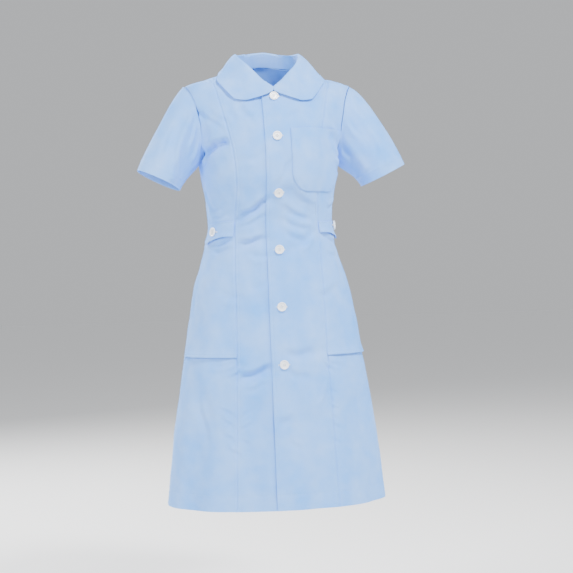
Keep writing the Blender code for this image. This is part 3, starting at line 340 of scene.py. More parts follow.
class NamedTable:
    """Rows of named columns over a key, read between them by a cubic that never overshoots."""

    def __init__(self, columns: str, rows: Sequence[tuple[float, ...]]) -> None:
        """Keep the rows sorted by their key.

        Args:
            columns: Names of the columns, the key's first.
            rows: One tuple for each row.
        """
        ordered = sorted(rows)
        names = columns.split()
        self.keys = np.array([row[0] for row in ordered], dtype=float)
        self.values = {name: np.array([row[place] for row in ordered], dtype=float)
                       for place, name in enumerate(names) if place}
        self.slopes = {name: self.monotone(values) for name, values in self.values.items()}

    def monotone(self, values: Array) -> Array:
        """Slopes at the keys that keep the curve between its points."""
        steps = np.diff(self.keys)
        rises = np.diff(values) / steps
        slopes = np.zeros_like(values)
        for place in range(1, len(values) - 1):
            low, high = rises[place - 1], rises[place]
            before = 2 * steps[place] + steps[place - 1]
            after = steps[place] + 2 * steps[place - 1]
            if low * high > 0:
                slopes[place] = (before + after) / (before / low + after / high)
        slopes[0], slopes[-1] = rises[0], rises[-1]
        return slopes

    def read(self, name: str, at: Array | float) -> Array:
        """Value of one column at one or many keys."""
        keys, values, slopes = self.keys, self.values[name], self.slopes[name]
        at = np.clip(np.asarray(at, dtype=float), keys[0], keys[-1])
        low = np.clip(np.searchsorted(keys, at) - 1, 0, len(keys) - 2)
        step = keys[low + 1] - keys[low]
        t = (at - keys[low]) / step
        start = (1 + 2 * t) * (1 - t) ** 2 * values[low] + t * (1 - t) ** 2 * step * slopes[low]
        end = t * t * (3 - 2 * t) * values[low + 1] + t * t * (t - 1) * step * slopes[low + 1]
        return start + end


def unit(vectors: Array) -> Array:
    """Vectors scaled to length one."""
    return vectors / np.linalg.norm(vectors, axis=-1, keepdims=True)


def ramp(value: Array, start: float, end: float) -> Array:
    """0 before start and 1 after end, smooth between."""
    t = np.clip((value - start) / (end - start), 0.0, 1.0)
    return t * t * (3 - 2 * t)


def bell(value: Array, half_width: float) -> Array:
    """1 at 0, falling away softly on both sides."""
    return np.exp(-(value / half_width) ** 2)


def ripple(along: Array, seed: int, waves: Sequence[float] = (0.0073, 0.0117, 0.0190, 0.0310)) -> Array:
    """Uneven waves along a length, from -1 to 1, the same for the same seed."""
    phases = np.random.RandomState(seed).uniform(0, 2 * math.pi, len(waves))
    total = sum(np.sin(2 * math.pi * along / wave + phase) for wave, phase in zip(waves, phases))
    return total / len(waves)


def trough_depth(along: Array, across: Array, start: tuple[float, float], end: tuple[float, float],
                 half_width: float, depth: float) -> Array:
    """Depth of one soft trough, in a plane of two lengths."""
    run = np.subtract(end, start)
    length = float(run @ run)
    t = np.clip(((along - start[0]) * run[0] + (across - start[1]) * run[1]) / length, 0.0, 1.0)
    gap = (along - start[0] - t * run[0]) ** 2 + (across - start[1] - t * run[1]) ** 2
    return depth * np.exp(-gap / half_width ** 2)


def crease_depth(along: Array, across: Array, start: tuple[float, float], end: tuple[float, float],
                 half_width: float, depth: float) -> Array:
    """Depth of one small crease: a trough with a softer ridge beside it, fading at its ends."""
    run = np.subtract(end, start)
    length = math.hypot(*run)
    ahead = run / length
    s = ((along - start[0]) * ahead[0] + (across - start[1]) * ahead[1]) / length
    side = ((across - start[1]) * ahead[0] - (along - start[0]) * ahead[1]) / half_width
    side = side + 0.35 * np.sin(2.2 * math.pi * s + start[0] * 40)
    fade = np.exp(-np.abs(2 * s - 1) ** 3 * 1.1)
    return depth * fade * (np.exp(-side ** 2) - 0.55 * np.exp(-(side - 1.7) ** 2))


class DressForm:
    """The worn form: rings that give a point and a normal at an angle and a height."""

    rings = NamedTable("height half_width front_depth back_depth squareness", FORM_RINGS)
    princess = NamedTable("height from_centre", PRINCESS_SEAM)

    def radius(self, angle: Array, height: Array) -> Array:
        """Radius of the level ring: a superellipse in front and another behind."""
        front = self.rings.read("front_depth", height)
        back = self.rings.read("back_depth", height)
        depth = np.where(np.cos(angle) > 0, front, back)
        power = self.rings.read("squareness", height)
        across = np.abs(np.sin(angle) / self.rings.read("half_width", height)) ** power
        return (across + np.abs(np.cos(angle) / depth) ** power) ** (-1.0 / power)

    def point(self, angle: Array, height: Array) -> Array:
        """Point of the smooth form."""
        radius = self.radius(angle, height)
        x, y = radius * np.sin(angle), FORM_CENTRE_Y - radius * np.cos(angle)
        return np.stack((x, y, height + 0 * x), axis=-1)

    def normal(self, angle: Array, height: Array) -> Array:
        """Outward normal of the smooth form."""
        by_angle = self.point(angle + SLOPE_STEP, height) - self.point(angle - SLOPE_STEP, height)
        by_height = self.point(angle, height + SLOPE_STEP) - self.point(angle, height - SLOPE_STEP)
        return unit(np.cross(by_angle, by_height))

    def pressed_in(self, angle: Array, height: Array) -> Array:
        """How far folds and creases push the cloth in."""
        depth = np.zeros(np.broadcast(angle, height).shape)
        for rows, shape, deeper in ((FOLDS, trough_depth, FOLD_GAIN), (CREASES, crease_depth, CREASE_GAIN)):
            for line in map(Trough._make, rows):
                middle = math.radians(0.5 * (line.start_angle + line.end_angle))
                level = 0.5 * (line.start_height + line.end_height)
                radius = float(self.radius(np.array(middle), np.array(level)))
                turned = (angle - middle + math.pi) % (2 * math.pi) - math.pi
                half_turn = math.radians(0.5 * (line.end_angle - line.start_angle))
                depth += shape(turned * radius, height, (-half_turn * radius, line.start_height),
                               (half_turn * radius, line.end_height), line.half_width,
                               line.depth * deeper)
        return depth

    def cloth(self, angle: Array, height: Array, out: Array | float = 0.0) -> tuple[Array, Array]:
        """Point of the draped cloth, moved out along the form's normal.

        Args:
            angle: Angles round the body.
            height: Heights.
            out: How far the cloth lies above the form.

        Returns:
            The points and the form's outward normals there.
        """
        points = self.point(angle, height)
        normals = self.normal(angle, height)
        moved = out - self.pressed_in(angle, height) + waviness(points)
        return points + normals * np.asarray(moved)[..., None], normals

    def angle_at(self, from_centre: Array, height: Array) -> Array:
        """Angle on the front of the form at a distance from the centre line."""
        share = np.clip(np.abs(from_centre) / self.rings.read("half_width", height), 0.0, 1.0)
        power = self.rings.read("squareness", height)
        forward = self.rings.read("front_depth", height) * (1 - share ** power) ** (1 / power)
        return np.arctan2(from_centre, forward)

    def shoulder_height(self, from_centre: float) -> float:
        """Height of the shoulder ridge at a distance from the centre line."""
        heights = np.linspace(ARMHOLE_TOP, 0.0, CURVE_SAMPLES)
        return float(np.interp(-from_centre, -self.rings.read("half_width", heights), heights))

    def spaced(self, curve: Array, shares: Array) -> Array:
        """Places at shares of the length along a finely sampled curve of places."""
        points = self.point(curve[:, 0], curve[:, 1])
        lengths = np.concatenate(([0.0], np.cumsum(np.linalg.norm(np.diff(points, axis=0), axis=1))))
        at = np.interp(shares * lengths[-1], lengths, np.arange(len(curve)))
        steps = np.arange(len(curve))
        return np.stack((np.interp(at, steps, curve[:, 0]), np.interp(at, steps, curve[:, 1])), axis=1)

    def neckline_height(self, angle: Array) -> Array:
        """Height of the neckline round the neck."""
        dip = NECK_V_SHARE * (1 - np.abs(np.sin(angle))) + (1 - NECK_V_SHARE) * np.cos(angle) ** 2
        return np.where(np.cos(angle) > 0, -NECK_FRONT_DROP * dip, NECK_BACK_RISE * np.cos(angle) ** 2)

    def neckline(self, start: float, end: float, shares: Array) -> Array:
        """Places along the neckline between two angles."""
        angles = np.linspace(start, end, CURVE_SAMPLES)
        return self.spaced(np.stack((angles, self.neckline_height(angles)), axis=1), shares)

    def neck_angle_at(self, from_centre: Array) -> Array:
        """Angle at which the front neckline is so far from the centre line."""
        angles = np.linspace(0.0, math.pi / 2, CURVE_SAMPLES)
        reach = self.point(angles, self.neckline_height(angles))[:, 0]
        return np.interp(from_centre, reach, angles)

    def shoulder(self, start: float, end: float, shares: Array) -> Array:
        """Places along the +X shoulder seam between two distances from the centre line."""
        heights = np.linspace(self.shoulder_height(start), self.shoulder_height(end), CURVE_SAMPLES)
        return self.spaced(np.stack((np.full_like(heights, math.pi / 2), heights), axis=1), shares)

    def princess_yoke(self, shares: Array) -> Array:
        """Places along the +X princess seam from the armpit's height up to the shoulder."""
        top = self.shoulder_height(PRINCESS_SEAM[0][1])
        ease = np.sin(np.linspace(0.0, math.pi / 2, CURVE_SAMPLES))
        heights = ARMPIT_HEIGHT + (top - ARMPIT_HEIGHT) * ease
        angles = self.angle_at(self.princess.read("from_centre", heights), heights)
        angles[-1] = math.pi / 2
        return self.spaced(np.stack((angles, heights), axis=1), shares)

    def armhole(self, back: bool, shares: Array) -> Array:
        """Places along half of the +X armhole, from the armpit up to the shoulder's tip."""
        turn = np.linspace(math.pi, 0.0, CURVE_SAMPLES)
        middle = 0.5 * (ARMHOLE_TOP + ARMPIT_HEIGHT)
        heights = middle + (ARMHOLE_TOP - middle) * np.cos(turn)
        reach = ARMHOLE_REACH * np.sin(turn)
        depth = self.rings.read("back_depth" if back else "front_depth", heights)
        power = self.rings.read("squareness", heights)
        out = self.rings.read("half_width", heights) * (1 - (reach / depth) ** power) ** (1 / power)
        angles = np.arctan2(out, -reach if back else reach)
        return self.spaced(np.stack((angles, heights), axis=1), shares)

    def settle(self, points: Array, clearance: float = 0.0, pull: bool = True) -> Array:
        """Points moved to a clearance above the form, or only out to it where pull is off."""
        moved = points.copy()
        for _ in range(FORM_PASSES):
            x, y, height = moved[..., 0], moved[..., 1] - FORM_CENTRE_Y, moved[..., 2]
            angle = np.arctan2(x, -y)
            radius = self.radius(angle, height)
            by_angle = self.radius(angle + SLOPE_STEP, height) - self.radius(angle - SLOPE_STEP, height)
            by_height = self.radius(angle, height + SLOPE_STEP) - self.radius(angle, height - SLOPE_STEP)
            outward = np.stack((np.sin(angle), -np.cos(angle), 0 * angle), axis=-1)
            around = np.stack((np.cos(angle), np.sin(angle), 0 * angle), axis=-1)
            slope = outward - around * (by_angle / (2 * SLOPE_STEP) / radius)[..., None]
            slope[..., 2] -= by_height / (2 * SLOPE_STEP)
            steepness = np.linalg.norm(slope, axis=-1)
            lift = clearance - (np.hypot(x, y) - radius) / steepness
            if not pull:
                lift = np.maximum(lift, 0.0)
            moved = moved + slope / steepness[..., None] * lift[..., None]
        return moved

    def patch(self, bottom: Array, top: Array, left: Array, right: Array, across: Array,
              up: Array) -> Array:
        """Grid of places between four edges of places, blended in space and laid on the form.

        Args:
            bottom, top: Places at the shares across.
            left, right: Places at the shares up.
            across: Shares of the width.
            up: Shares of the height.

        Returns:
            A grid of places, rows up and columns across.
        """
        low, high, first, last = (self.point(edge[:, 0], edge[:, 1]) for edge in (bottom, top, left, right))
        u, v = across[None, :, None], up[:, None, None]
        blend = (1 - v) * low[None] + v * high[None] + (1 - u) * first[:, None] + u * last[:, None]
        blend = blend - (1 - v) * ((1 - u) * low[0] + u * low[-1]) - v * ((1 - u) * high[0] + u * high[-1])
        points = self.settle(blend)
        angles = np.arctan2(points[..., 0], FORM_CENTRE_Y - points[..., 1]) % (2 * math.pi)
        places = np.stack((angles, points[..., 2]), axis=-1)
        places[0], places[-1], places[:, 0], places[:, -1] = bottom, top, left, right
        return places


def waviness(points: Array) -> Array:
    """Slight unevenness of worn cloth at points in space."""
    draw = np.random.RandomState(7)
    total = np.zeros(points.shape[:-1])
    for wave, height in WAVES:
        way = draw.normal(size=3) * (1.0, 1.0, 0.45)
        way *= 2 * math.pi / wave / np.linalg.norm(way)
        total += height * np.sin(points @ way + draw.uniform(0, 2 * math.pi))
    return total


WAVES = tuple((wave, height) for wave, height in (
    (0.118, 0.00085), (0.093, 0.00075), (0.081, 0.00066), (0.067, 0.00055), (0.058, 0.00048),
    (0.049, 0.00040), (0.043, 0.00034), (0.037, 0.00027), (0.031, 0.00021), (0.026, 0.00016),
    (0.022, 0.00012), (0.017, 0.00008), (0.013, 0.00005),
))
FORM = DressForm()


def shares_over(length: float, step: float, low: bool = True, high: bool = True,
                through: Sequence[float] = ()) -> Array:
    """Shares of a length at an even step, closer together near the ends that carry a seam.

    Args:
        length: The real length that the shares run over.
        step: Step between shares away from the ends.
        low, high: Whether the first or the last end carries a seam.
        through: Shares that have to be among them.

    Returns:
        Shares from 0 to 1.
    """
    stops = [0.0, *through, 1.0]
    shares = np.concatenate([
        np.linspace(start, end, max(1, round((end - start) * length / step)), endpoint=False)
        for start, end in zip(stops, stops[1:])
    ] + [[1.0]])
    marks = np.array(EDGE_MARKS) / length
    spare = 0.3 * step / length
    if low:
        shares = np.concatenate((marks, shares[shares > marks[-1] + spare]))
    if high:
        shares = np.concatenate((shares[shares < 1 - marks[-1] - spare], 1 - marks[::-1]))
    return shares


def body_heights(step: float, dense_mouth: bool = False) -> Array:
    """Heights of the level rows from the hem up to the armpit."""
    skirt = HIP_POCKET_HEIGHT - HEM_HEIGHT
    body = ARMPIT_HEIGHT - HIP_POCKET_HEIGHT
    low = HEM_HEIGHT + skirt * shares_over(skirt, step, True, dense_mouth)
    high = HIP_POCKET_HEIGHT + body * shares_over(body, step, dense_mouth, False)
    return np.concatenate((low, high[1:]))


def level_rows(left: Array, right: Array, shares: Array, heights: Array) -> Array:
    """Rows of places between two angles at each height."""
    angles = left[:, None] * (1 - shares) + right[:, None] * shares
    return np.stack((angles, heights[:, None] + 0 * angles), axis=-1)


def mirrored(grid: Array) -> Array:
    """The same grid of places on the other side of the front."""
    turned = grid[:, ::-1].copy()
    turned[..., 0] *= -1
    return turned


def deselect_all() -> None:
    """Leave nothing selected."""
    for item in bpy.context.selected_objects:
        item.select_set(False)


def make_active(piece: bpy.types.Object) -> None:
    """Select one piece alone."""
    deselect_all()
    piece.select_set(True)
    bpy.context.view_layer.objects.active = piece


@dataclass
class ClothSheet:
    """A grid of points and outward normals, rows up and columns across."""

    name: str
    points: Array
    normals: Array

    def reach(self, edge: Edge) -> Array:
        """Length over the cloth from an edge to every point."""
        axis = 1 if edge in (Edge.LEFT, Edge.RIGHT) else 0
        steps = np.linalg.norm(np.diff(self.points, axis=axis), axis=-1)
        pad = ((0, 0), (1, 0)) if axis else ((1, 0), (0, 0))
        lengths = np.pad(np.cumsum(steps, axis=axis), pad)
        if edge in (Edge.RIGHT, Edge.TOP):
            lengths = np.take(lengths, [-1], axis=axis) - lengths
        return lengths

    def raise_by(self, amount: Array) -> None:
        """Move the points out along their normals."""
        self.points = self.points + self.normals * amount[..., None]

    def sew(self, edge: Edge, kind: Sewing, seed: int = 1, start: float = 0.0, end: float = 9.0) -> None:
        """Shape an edge as it is sewn: a dip at the seam, a stitched groove and small puckers.

        Args:
            edge: Which edge.
            kind: How it is finished.
            seed: Which run of puckers it gets.
            start, end: Reach along the edge, from its low or left end, that the finish covers.
        """
        dip, dip_width, inset, groove, ridge = kind.value
        away = self.reach(edge)
        along = self.reach(Edge.BOTTOM if edge in (Edge.LEFT, Edge.RIGHT) else Edge.LEFT)
        covers = ramp(along, start - 0.002, start + 0.002) * (1 - ramp(along, end - 0.002, end + 0.002))
        shape = -dip * bell(away, dip_width)
        shape = shape - 0.00022 * bell(away - 0.003, 0.006) * ripple(along, seed)
        if groove:
            uneven = 1 + 0.5 * ripple(along, seed + 50)
            shape = shape - groove * uneven * bell(away - inset, 0.0013)
            shape = shape + ridge * bell(away - 0.5 * inset, 0.42 * inset)
            shape = shape - 0.00025 * bell(away - inset, 0.008) * ripple(along, seed + 90)
        self.raise_by(shape * covers)

    def line(self, edge: Edge, inset: float, start: float = 0.0, end: float = 9.0) -> tuple[Array, Array]:
        """Points and normals along a line that keeps one distance from an edge."""
        away = self.reach(edge)
        points, normals = self.points, self.normals
        if edge in (Edge.BOTTOM, Edge.TOP):
            away, points, normals = away.T, points.swapaxes(0, 1), normals.swapaxes(0, 1)
        if edge in (Edge.RIGHT, Edge.TOP):
            away, points, normals = away[:, ::-1], points[:, ::-1], normals[:, ::-1]
        places = np.arange(away.shape[1])
        found, facing = [], []
        for row in range(away.shape[0]):
            at = float(np.interp(inset, away[row], places))
            low = min(int(at), len(places) - 2)
            t = at - low
            found.append((1 - t) * points[row, low] + t * points[row, low + 1])
            facing.append((1 - t) * normals[row, low] + t * normals[row, low + 1])
        found, facing = np.array(found), unit(np.array(facing))
        lengths = np.concatenate(([0.0], np.cumsum(np.linalg.norm(np.diff(found, axis=0), axis=1))))
        keep = (lengths >= start) & (lengths <= end)
        return found[keep], facing[keep]

    def build(self, finish: bpy.types.Material, wall: float = SHELL, tube: bool = False) -> bpy.types.Object:
        """Make the sheet a thin closed shell, its given side outermost.

        Args:
            finish: Material.
            wall: Thickness, inwards from the given side.
            tube: Whether the first and last columns are sewn into one.

        Returns:
            The new piece.
        """
        points, normals = self.points, self.normals
        across = np.gradient(points, axis=1)
        up = np.gradient(points, axis=0)
        if float((np.cross(across, up) * normals).sum()) < 0:
            points = points[:, ::-1]
        rows, columns = points.shape[:2]
        deselect_all()
        bpy.ops.mesh.primitive_grid_add(x_subdivisions=columns - 1, y_subdivisions=rows - 1, size=1)
        piece = bpy.context.object
        piece.name = self.name
        mesh = piece.data
        mesh.name = self.name
        mesh.vertices.foreach_set("co", np.ascontiguousarray(points, dtype=np.float32).ravel())
        sheet = ClothSheet(self.name, points, normals)
        flat = np.stack((sheet.reach(Edge.LEFT), sheet.reach(Edge.BOTTOM)), axis=-1).reshape(-1, 2)
        corners = np.zeros(len(mesh.loops), dtype=np.int32)
        mesh.loops.foreach_get("vertex_index", corners)
        mesh.uv_layers.active.data.foreach_set("uv", flat[corners].astype(np.float32).ravel())
        mesh.update()
        if tube:
            bpy.ops.object.mode_set(mode="EDIT")
            bpy.ops.mesh.select_all(action="SELECT")
            bpy.ops.mesh.remove_doubles(threshold=1e-6)
            bpy.ops.object.mode_set(mode="OBJECT")
        solid = piece.modifiers.new("wall", "SOLIDIFY")
        solid.thickness = wall
        solid.offset = -1.0
        bpy.ops.object.modifier_apply(modifier=solid.name)
        bpy.ops.object.shade_smooth_by_angle(angle=math.radians(48))
        mesh.materials.clear()
        mesh.materials.append(finish)
        return piece


class Threads:
    """Collects stitches and makes them one piece of thread for each piece of cloth."""

    def __init__(self, finish: bpy.types.Material) -> None:
        """Make the stitch that all the others copy.

        Args:
            finish: Material of the thread.
        """
        self.finish = finish
        self.runs: dict[str, list[Array]] = {}
        deselect_all()
        bpy.ops.mesh.primitive_ico_sphere_add(subdivisions=1, radius=1)
        pattern = bpy.context.object
        self.corners = np.array([vertex.co[:] for vertex in pattern.data.vertices])
        self.faces = np.array([face.vertices[:] for face in pattern.data.polygons])
        bpy.data.objects.remove(pattern, do_unlink=True)

    def place(self, name: str, centres: Array, ahead: Array, facing: Array,
              size: tuple[float, float, float] = STITCH_SIZE) -> None:
        """Add single stitches.

        Args:
            name: Piece of thread that they belong to.
            centres: Their middles.
            ahead: Their directions.
            facing: Outward normals of the cloth.
            size: Half length, half width and half height.
        """
        ahead = unit(ahead)
        facing = unit(facing - ahead * (facing * ahead).sum(axis=-1, keepdims=True))
        aside = np.cross(facing, ahead)
        local = self.corners * np.array(size)
        corners = (centres[:, None] + local[None, :, :1] * ahead[:, None]
                   + local[None, :, 1:2] * aside[:, None] + local[None, :, 2:] * facing[:, None])
        self.runs.setdefault(name, []).append(corners)

    def run(self, name: str, line: tuple[Array, Array], pitch: float = STITCH_PITCH) -> None:
        """Add an even run of stitches along a line of points and normals."""
        points, normals = line
        if len(points) < 3:
            return
        lengths = np.concatenate(([0.0], np.cumsum(np.linalg.norm(np.diff(points, axis=0), axis=1))))
        count = max(1, int(lengths[-1] / pitch))
        middles = (np.arange(count) + 0.5) * lengths[-1] / count

        def at(where: Array, values: Array) -> Array:
            return np.stack([np.interp(where, lengths, values[:, axis]) for axis in range(3)], axis=-1)

        ahead = at(middles + 0.0004, points) - at(middles - 0.0004, points)
        facing = at(middles, normals)
        self.place(name, at(middles, points) + unit(facing) * 0.00005, ahead, facing)

    def build(self) -> list[bpy.types.Object]:
        """Make each collected piece of thread.

        Returns:
            The new pieces.
        """
        made = []
        for name, groups in self.runs.items():
            corners = np.concatenate(groups)
            count, size = corners.shape[:2]
            faces = (self.faces[None] + (np.arange(count) * size)[:, None, None]).reshape(-1, 3)
            mesh = bpy.data.meshes.new(name)
            mesh.from_pydata(corners.reshape(-1, 3).tolist(), [], faces.tolist())
            mesh.update()
            piece = bpy.data.objects.new(name, mesh)
            bpy.context.scene.collection.objects.link(piece)
            make_active(piece)
            bpy.ops.object.shade_smooth()
            mesh.materials.append(self.finish)
            made.append(piece)
        return made


def socket(tree: bpy.types.NodeTree, name: str, kind: str, output: bool = False,
           value: float | tuple[float, ...] | None = None) -> None:
    """Add a named input or output to a node group."""
    made = tree.interface.new_socket(name, in_out="OUTPUT" if output else "INPUT",
                                     socket_type="NodeSocket" + kind)
    if value is not None:
        made.default_value = value


def math_node(tree: bpy.types.NodeTree, operation: str, first: object, second: object = 0.0) -> object:
    """Add a Math node and give back its output."""
    node = tree.nodes.new("ShaderNodeMath")
    node.operation = operation
    for place, value in enumerate((first, second)):
        if isinstance(value, (int, float)):
            node.inputs[place].default_value = value
        else:
            tree.links.new(value, node.inputs[place])
    return node.outputs[0]


def noise_node(tree: bpy.types.NodeTree, scale: float, detail: float, vector: object) -> object:
    """Add a Noise node on a vector and give back its factor."""
    node = tree.nodes.new("ShaderNodeTexNoise")
    node.inputs["Scale"].default_value = scale
    node.inputs["Detail"].default_value = detail
    tree.links.new(vector, node.inputs["Vector"])
    return node.outputs["Fac"]


def mix_node(tree: bpy.types.NodeTree, factor: object, first: object, second: object) -> object:
    """Add a colour Mix node and give back its result."""
    node = tree.nodes.new("ShaderNodeMix")
    node.data_type = "RGBA"
    tree.links.new(factor, node.inputs["Factor"])
    for name, value in (("A", first), ("B", second)):
        entry = next(item for item in node.inputs if item.name == name and item.type == "RGBA")
        if isinstance(value, tuple):
            entry.default_value = value
        else:
            tree.links.new(value, entry)
    return next(item for item in node.outputs if item.type == "RGBA")


def weighted(tree: bpy.types.NodeTree, first: tuple[object, float], second: tuple[object, float]) -> object:
    """Sum of two values, each times its own share."""
    parts = [math_node(tree, "MULTIPLY", value, share) for value, share in (first, second)]
    return math_node(tree, "ADD", *parts)


def weave_group() -> bpy.types.NodeTree:
    """Shader group of a fine woven cloth: its colour, roughness and the height of its threads."""
    tree = bpy.data.node_groups.new("FineWeave", "ShaderNodeTree")
    socket(tree, "Light", "Color", value=(0.5, 0.6, 0.8, 1.0))
    socket(tree, "Dark", "Color", value=(0.4, 0.5, 0.7, 1.0))
    socket(tree, "Threads per Metre", "Float", value=2000.0)
    socket(tree, "Roughness", "Float", value=0.8)
    socket(tree, "Color", "Color", output=True)
    socket(tree, "Roughness", "Float", output=True)
    socket(tree, "Height", "Float", output=True)
    entry = tree.nodes.new("NodeGroupInput")
    leave = tree.nodes.new("NodeGroupOutput")
    where = tree.nodes.new("ShaderNodeTexCoord")
    split = tree.nodes.new("ShaderNodeSeparateXYZ")
    tree.links.new(where.outputs["UV"], split.inputs[0])
    turn = math_node(tree, "MULTIPLY", entry.outputs["Threads per Metre"], math.pi)
    warp = math_node(tree, "SINE", math_node(tree, "MULTIPLY", split.outputs["X"], turn))
    weft = math_node(tree, "SINE", math_node(tree, "MULTIPLY", split.outputs["Y"], turn))
    crossing = math_node(tree, "MULTIPLY", warp, weft)
    height = math_node(tree, "ADD", math_node(tree, "MULTIPLY", crossing, 0.5), 0.5)
    wide = noise_node(tree, WIDE_CLOUD_SCALE, 3.0, where.outputs["Object"])
    close = noise_node(tree, CLOSE_CLOUD_SCALE, 2.0, where.outputs["Object"])
    cloudy = weighted(tree, (wide, WIDE_CLOUD_GAIN), (close, CLOSE_CLOUD_GAIN))
    cloudy = math_node(tree, "ADD", cloudy, CLOUD_OFFSET)
    slub = noise_node(tree, SLUB_SCALE, 2.0, where.outputs["Object"])
    blend = weighted(tree, (cloudy, CLOUD_SHARE), (slub, 1 - CLOUD_SHARE))
    shade = weighted(tree, (height, THREAD_SHARE), (blend, 1 - THREAD_SHARE))
    colour = mix_node(tree, shade, entry.outputs["Dark"], entry.outputs["Light"])
    tree.links.new(colour, leave.inputs["Color"])
    rough = math_node(tree, "ADD", entry.outputs["Roughness"], math_node(tree, "MULTIPLY", slub, 0.08))
    tree.links.new(rough, leave.inputs["Roughness"])
    tree.links.new(height, leave.inputs["Height"])
    return tree


def moulded_group() -> bpy.types.NodeTree:
    """Shader group of a pearly moulded plastic: its colour and roughness."""
    tree = bpy.data.node_groups.new("PearlyPlastic", "ShaderNodeTree")
    socket(tree, "Light", "Color", value=(0.9, 0.9, 0.9, 1.0))
    socket(tree, "Dark", "Color", value=(0.8, 0.8, 0.8, 1.0))
    socket(tree, "Roughness", "Float", value=0.3)
    socket(tree, "Color", "Color", output=True)
    socket(tree, "Roughness", "Float", output=True)
    entry = tree.nodes.new("NodeGroupInput")
    leave = tree.nodes.new("NodeGroupOutput")
    where = tree.nodes.new("ShaderNodeTexCoord")
    cloud = noise_node(tree, 140.0, 3.0, where.outputs["Object"])
    colour = mix_node(tree, cloud, entry.outputs["Dark"], entry.outputs["Light"])
    tree.links.new(colour, leave.inputs["Color"])
    rough = math_node(tree, "ADD", entry.outputs["Roughness"], math_node(tree, "MULTIPLY", cloud, 0.12))
    tree.links.new(rough, leave.inputs["Roughness"])
    return tree


@dataclass(frozen=True)
class WovenFinish:
    """Finish of the dress cloth, or of its sewing thread."""

    name: str
    light: tuple[float, float, float]
    dark: tuple[float, float, float]
    roughness: float
    sheen: float
    bump: float

    def material(self, weave: bpy.types.NodeTree) -> bpy.types.Material:
        """Material of this finish.

        Args:
            weave: The weave's shader group.

        Returns:
            A new material.
        """
        made = bpy.data.materials.new(self.name)
        made.use_nodes = True
        tree = made.node_tree
        shader = tree.nodes["Principled BSDF"]
        group = tree.nodes.new("ShaderNodeGroup")
        group.node_tree = weave
        group.inputs["Light"].default_value = (*self.light, 1.0)
        group.inputs["Dark"].default_value = (*self.dark, 1.0)
        group.inputs["Roughness"].default_value = self.roughness
        tree.links.new(group.outputs["Color"], shader.inputs["Base Color"])
        tree.links.new(group.outputs["Roughness"], shader.inputs["Roughness"])
        bump = tree.nodes.new("ShaderNodeBump")
        bump.inputs["Strength"].default_value = self.bump
        bump.inputs["Distance"].default_value = 0.00008
        tree.links.new(group.outputs["Height"], bump.inputs["Height"])
        tree.links.new(bump.outputs["Normal"], shader.inputs["Normal"])
        shader.inputs["Sheen Weight"].default_value = self.sheen
        shader.inputs["Sheen Roughness"].default_value = 0.5
        shader.inputs["Specular IOR Level"].default_value = 0.25
        return made


@dataclass(frozen=True)
class PlasticFinish:
    """Finish of the buttons."""

    name: str
    light: tuple[float, float, float]
    dark: tuple[float, float, float]
    roughness: float
    coat: float

    def material(self, plastic: bpy.types.NodeTree) -> bpy.types.Material:
        """Material of this finish.

        Args:
            plastic: The plastic's shader group.

        Returns:
            A new material.
        """
        made = bpy.data.materials.new(self.name)
        made.use_nodes = True
        tree = made.node_tree
        shader = tree.nodes["Principled BSDF"]
        group = tree.nodes.new("ShaderNodeGroup")
        group.node_tree = plastic
        group.inputs["Light"].default_value = (*self.light, 1.0)
        group.inputs["Dark"].default_value = (*self.dark, 1.0)
        group.inputs["Roughness"].default_value = self.roughness
        tree.links.new(group.outputs["Color"], shader.inputs["Base Color"])
        tree.links.new(group.outputs["Roughness"], shader.inputs["Roughness"])
        shader.inputs["Coat Weight"].default_value = self.coat
        shader.inputs["Coat Roughness"].default_value = 0.2
        return made


CLOTH = WovenFinish("dress_cloth", (0.260, 0.490, 0.95), (0.090, 0.365, 0.95), 0.80, 0.05, 0.25)
THREAD = WovenFinish("sewing_thread", (0.32, 0.57, 0.94), (0.24, 0.50, 0.90), 0.62, 0.15, 0.10)
BUTTON_THREAD = WovenFinish("button_thread", (0.80, 0.84, 0.90), (0.70, 0.75, 0.84), 0.62, 0.10, 0.10)
BUTTON = PlasticFinish("pearl_button", (0.96, 0.97, 0.99), (0.74, 0.79, 0.87), 0.22, 0.45)


def dress_piece(piece: bpy.types.Object, slot: str, *nodes: str) -> bpy.types.Object:
    """Ride a finished piece on the dress and hide the solids it stands for."""
    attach(piece, "root")
    if nodes:
        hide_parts(*nodes)
    LOG.info("%s: %d faces", piece.name, len(piece.data.polygons))
    return piece


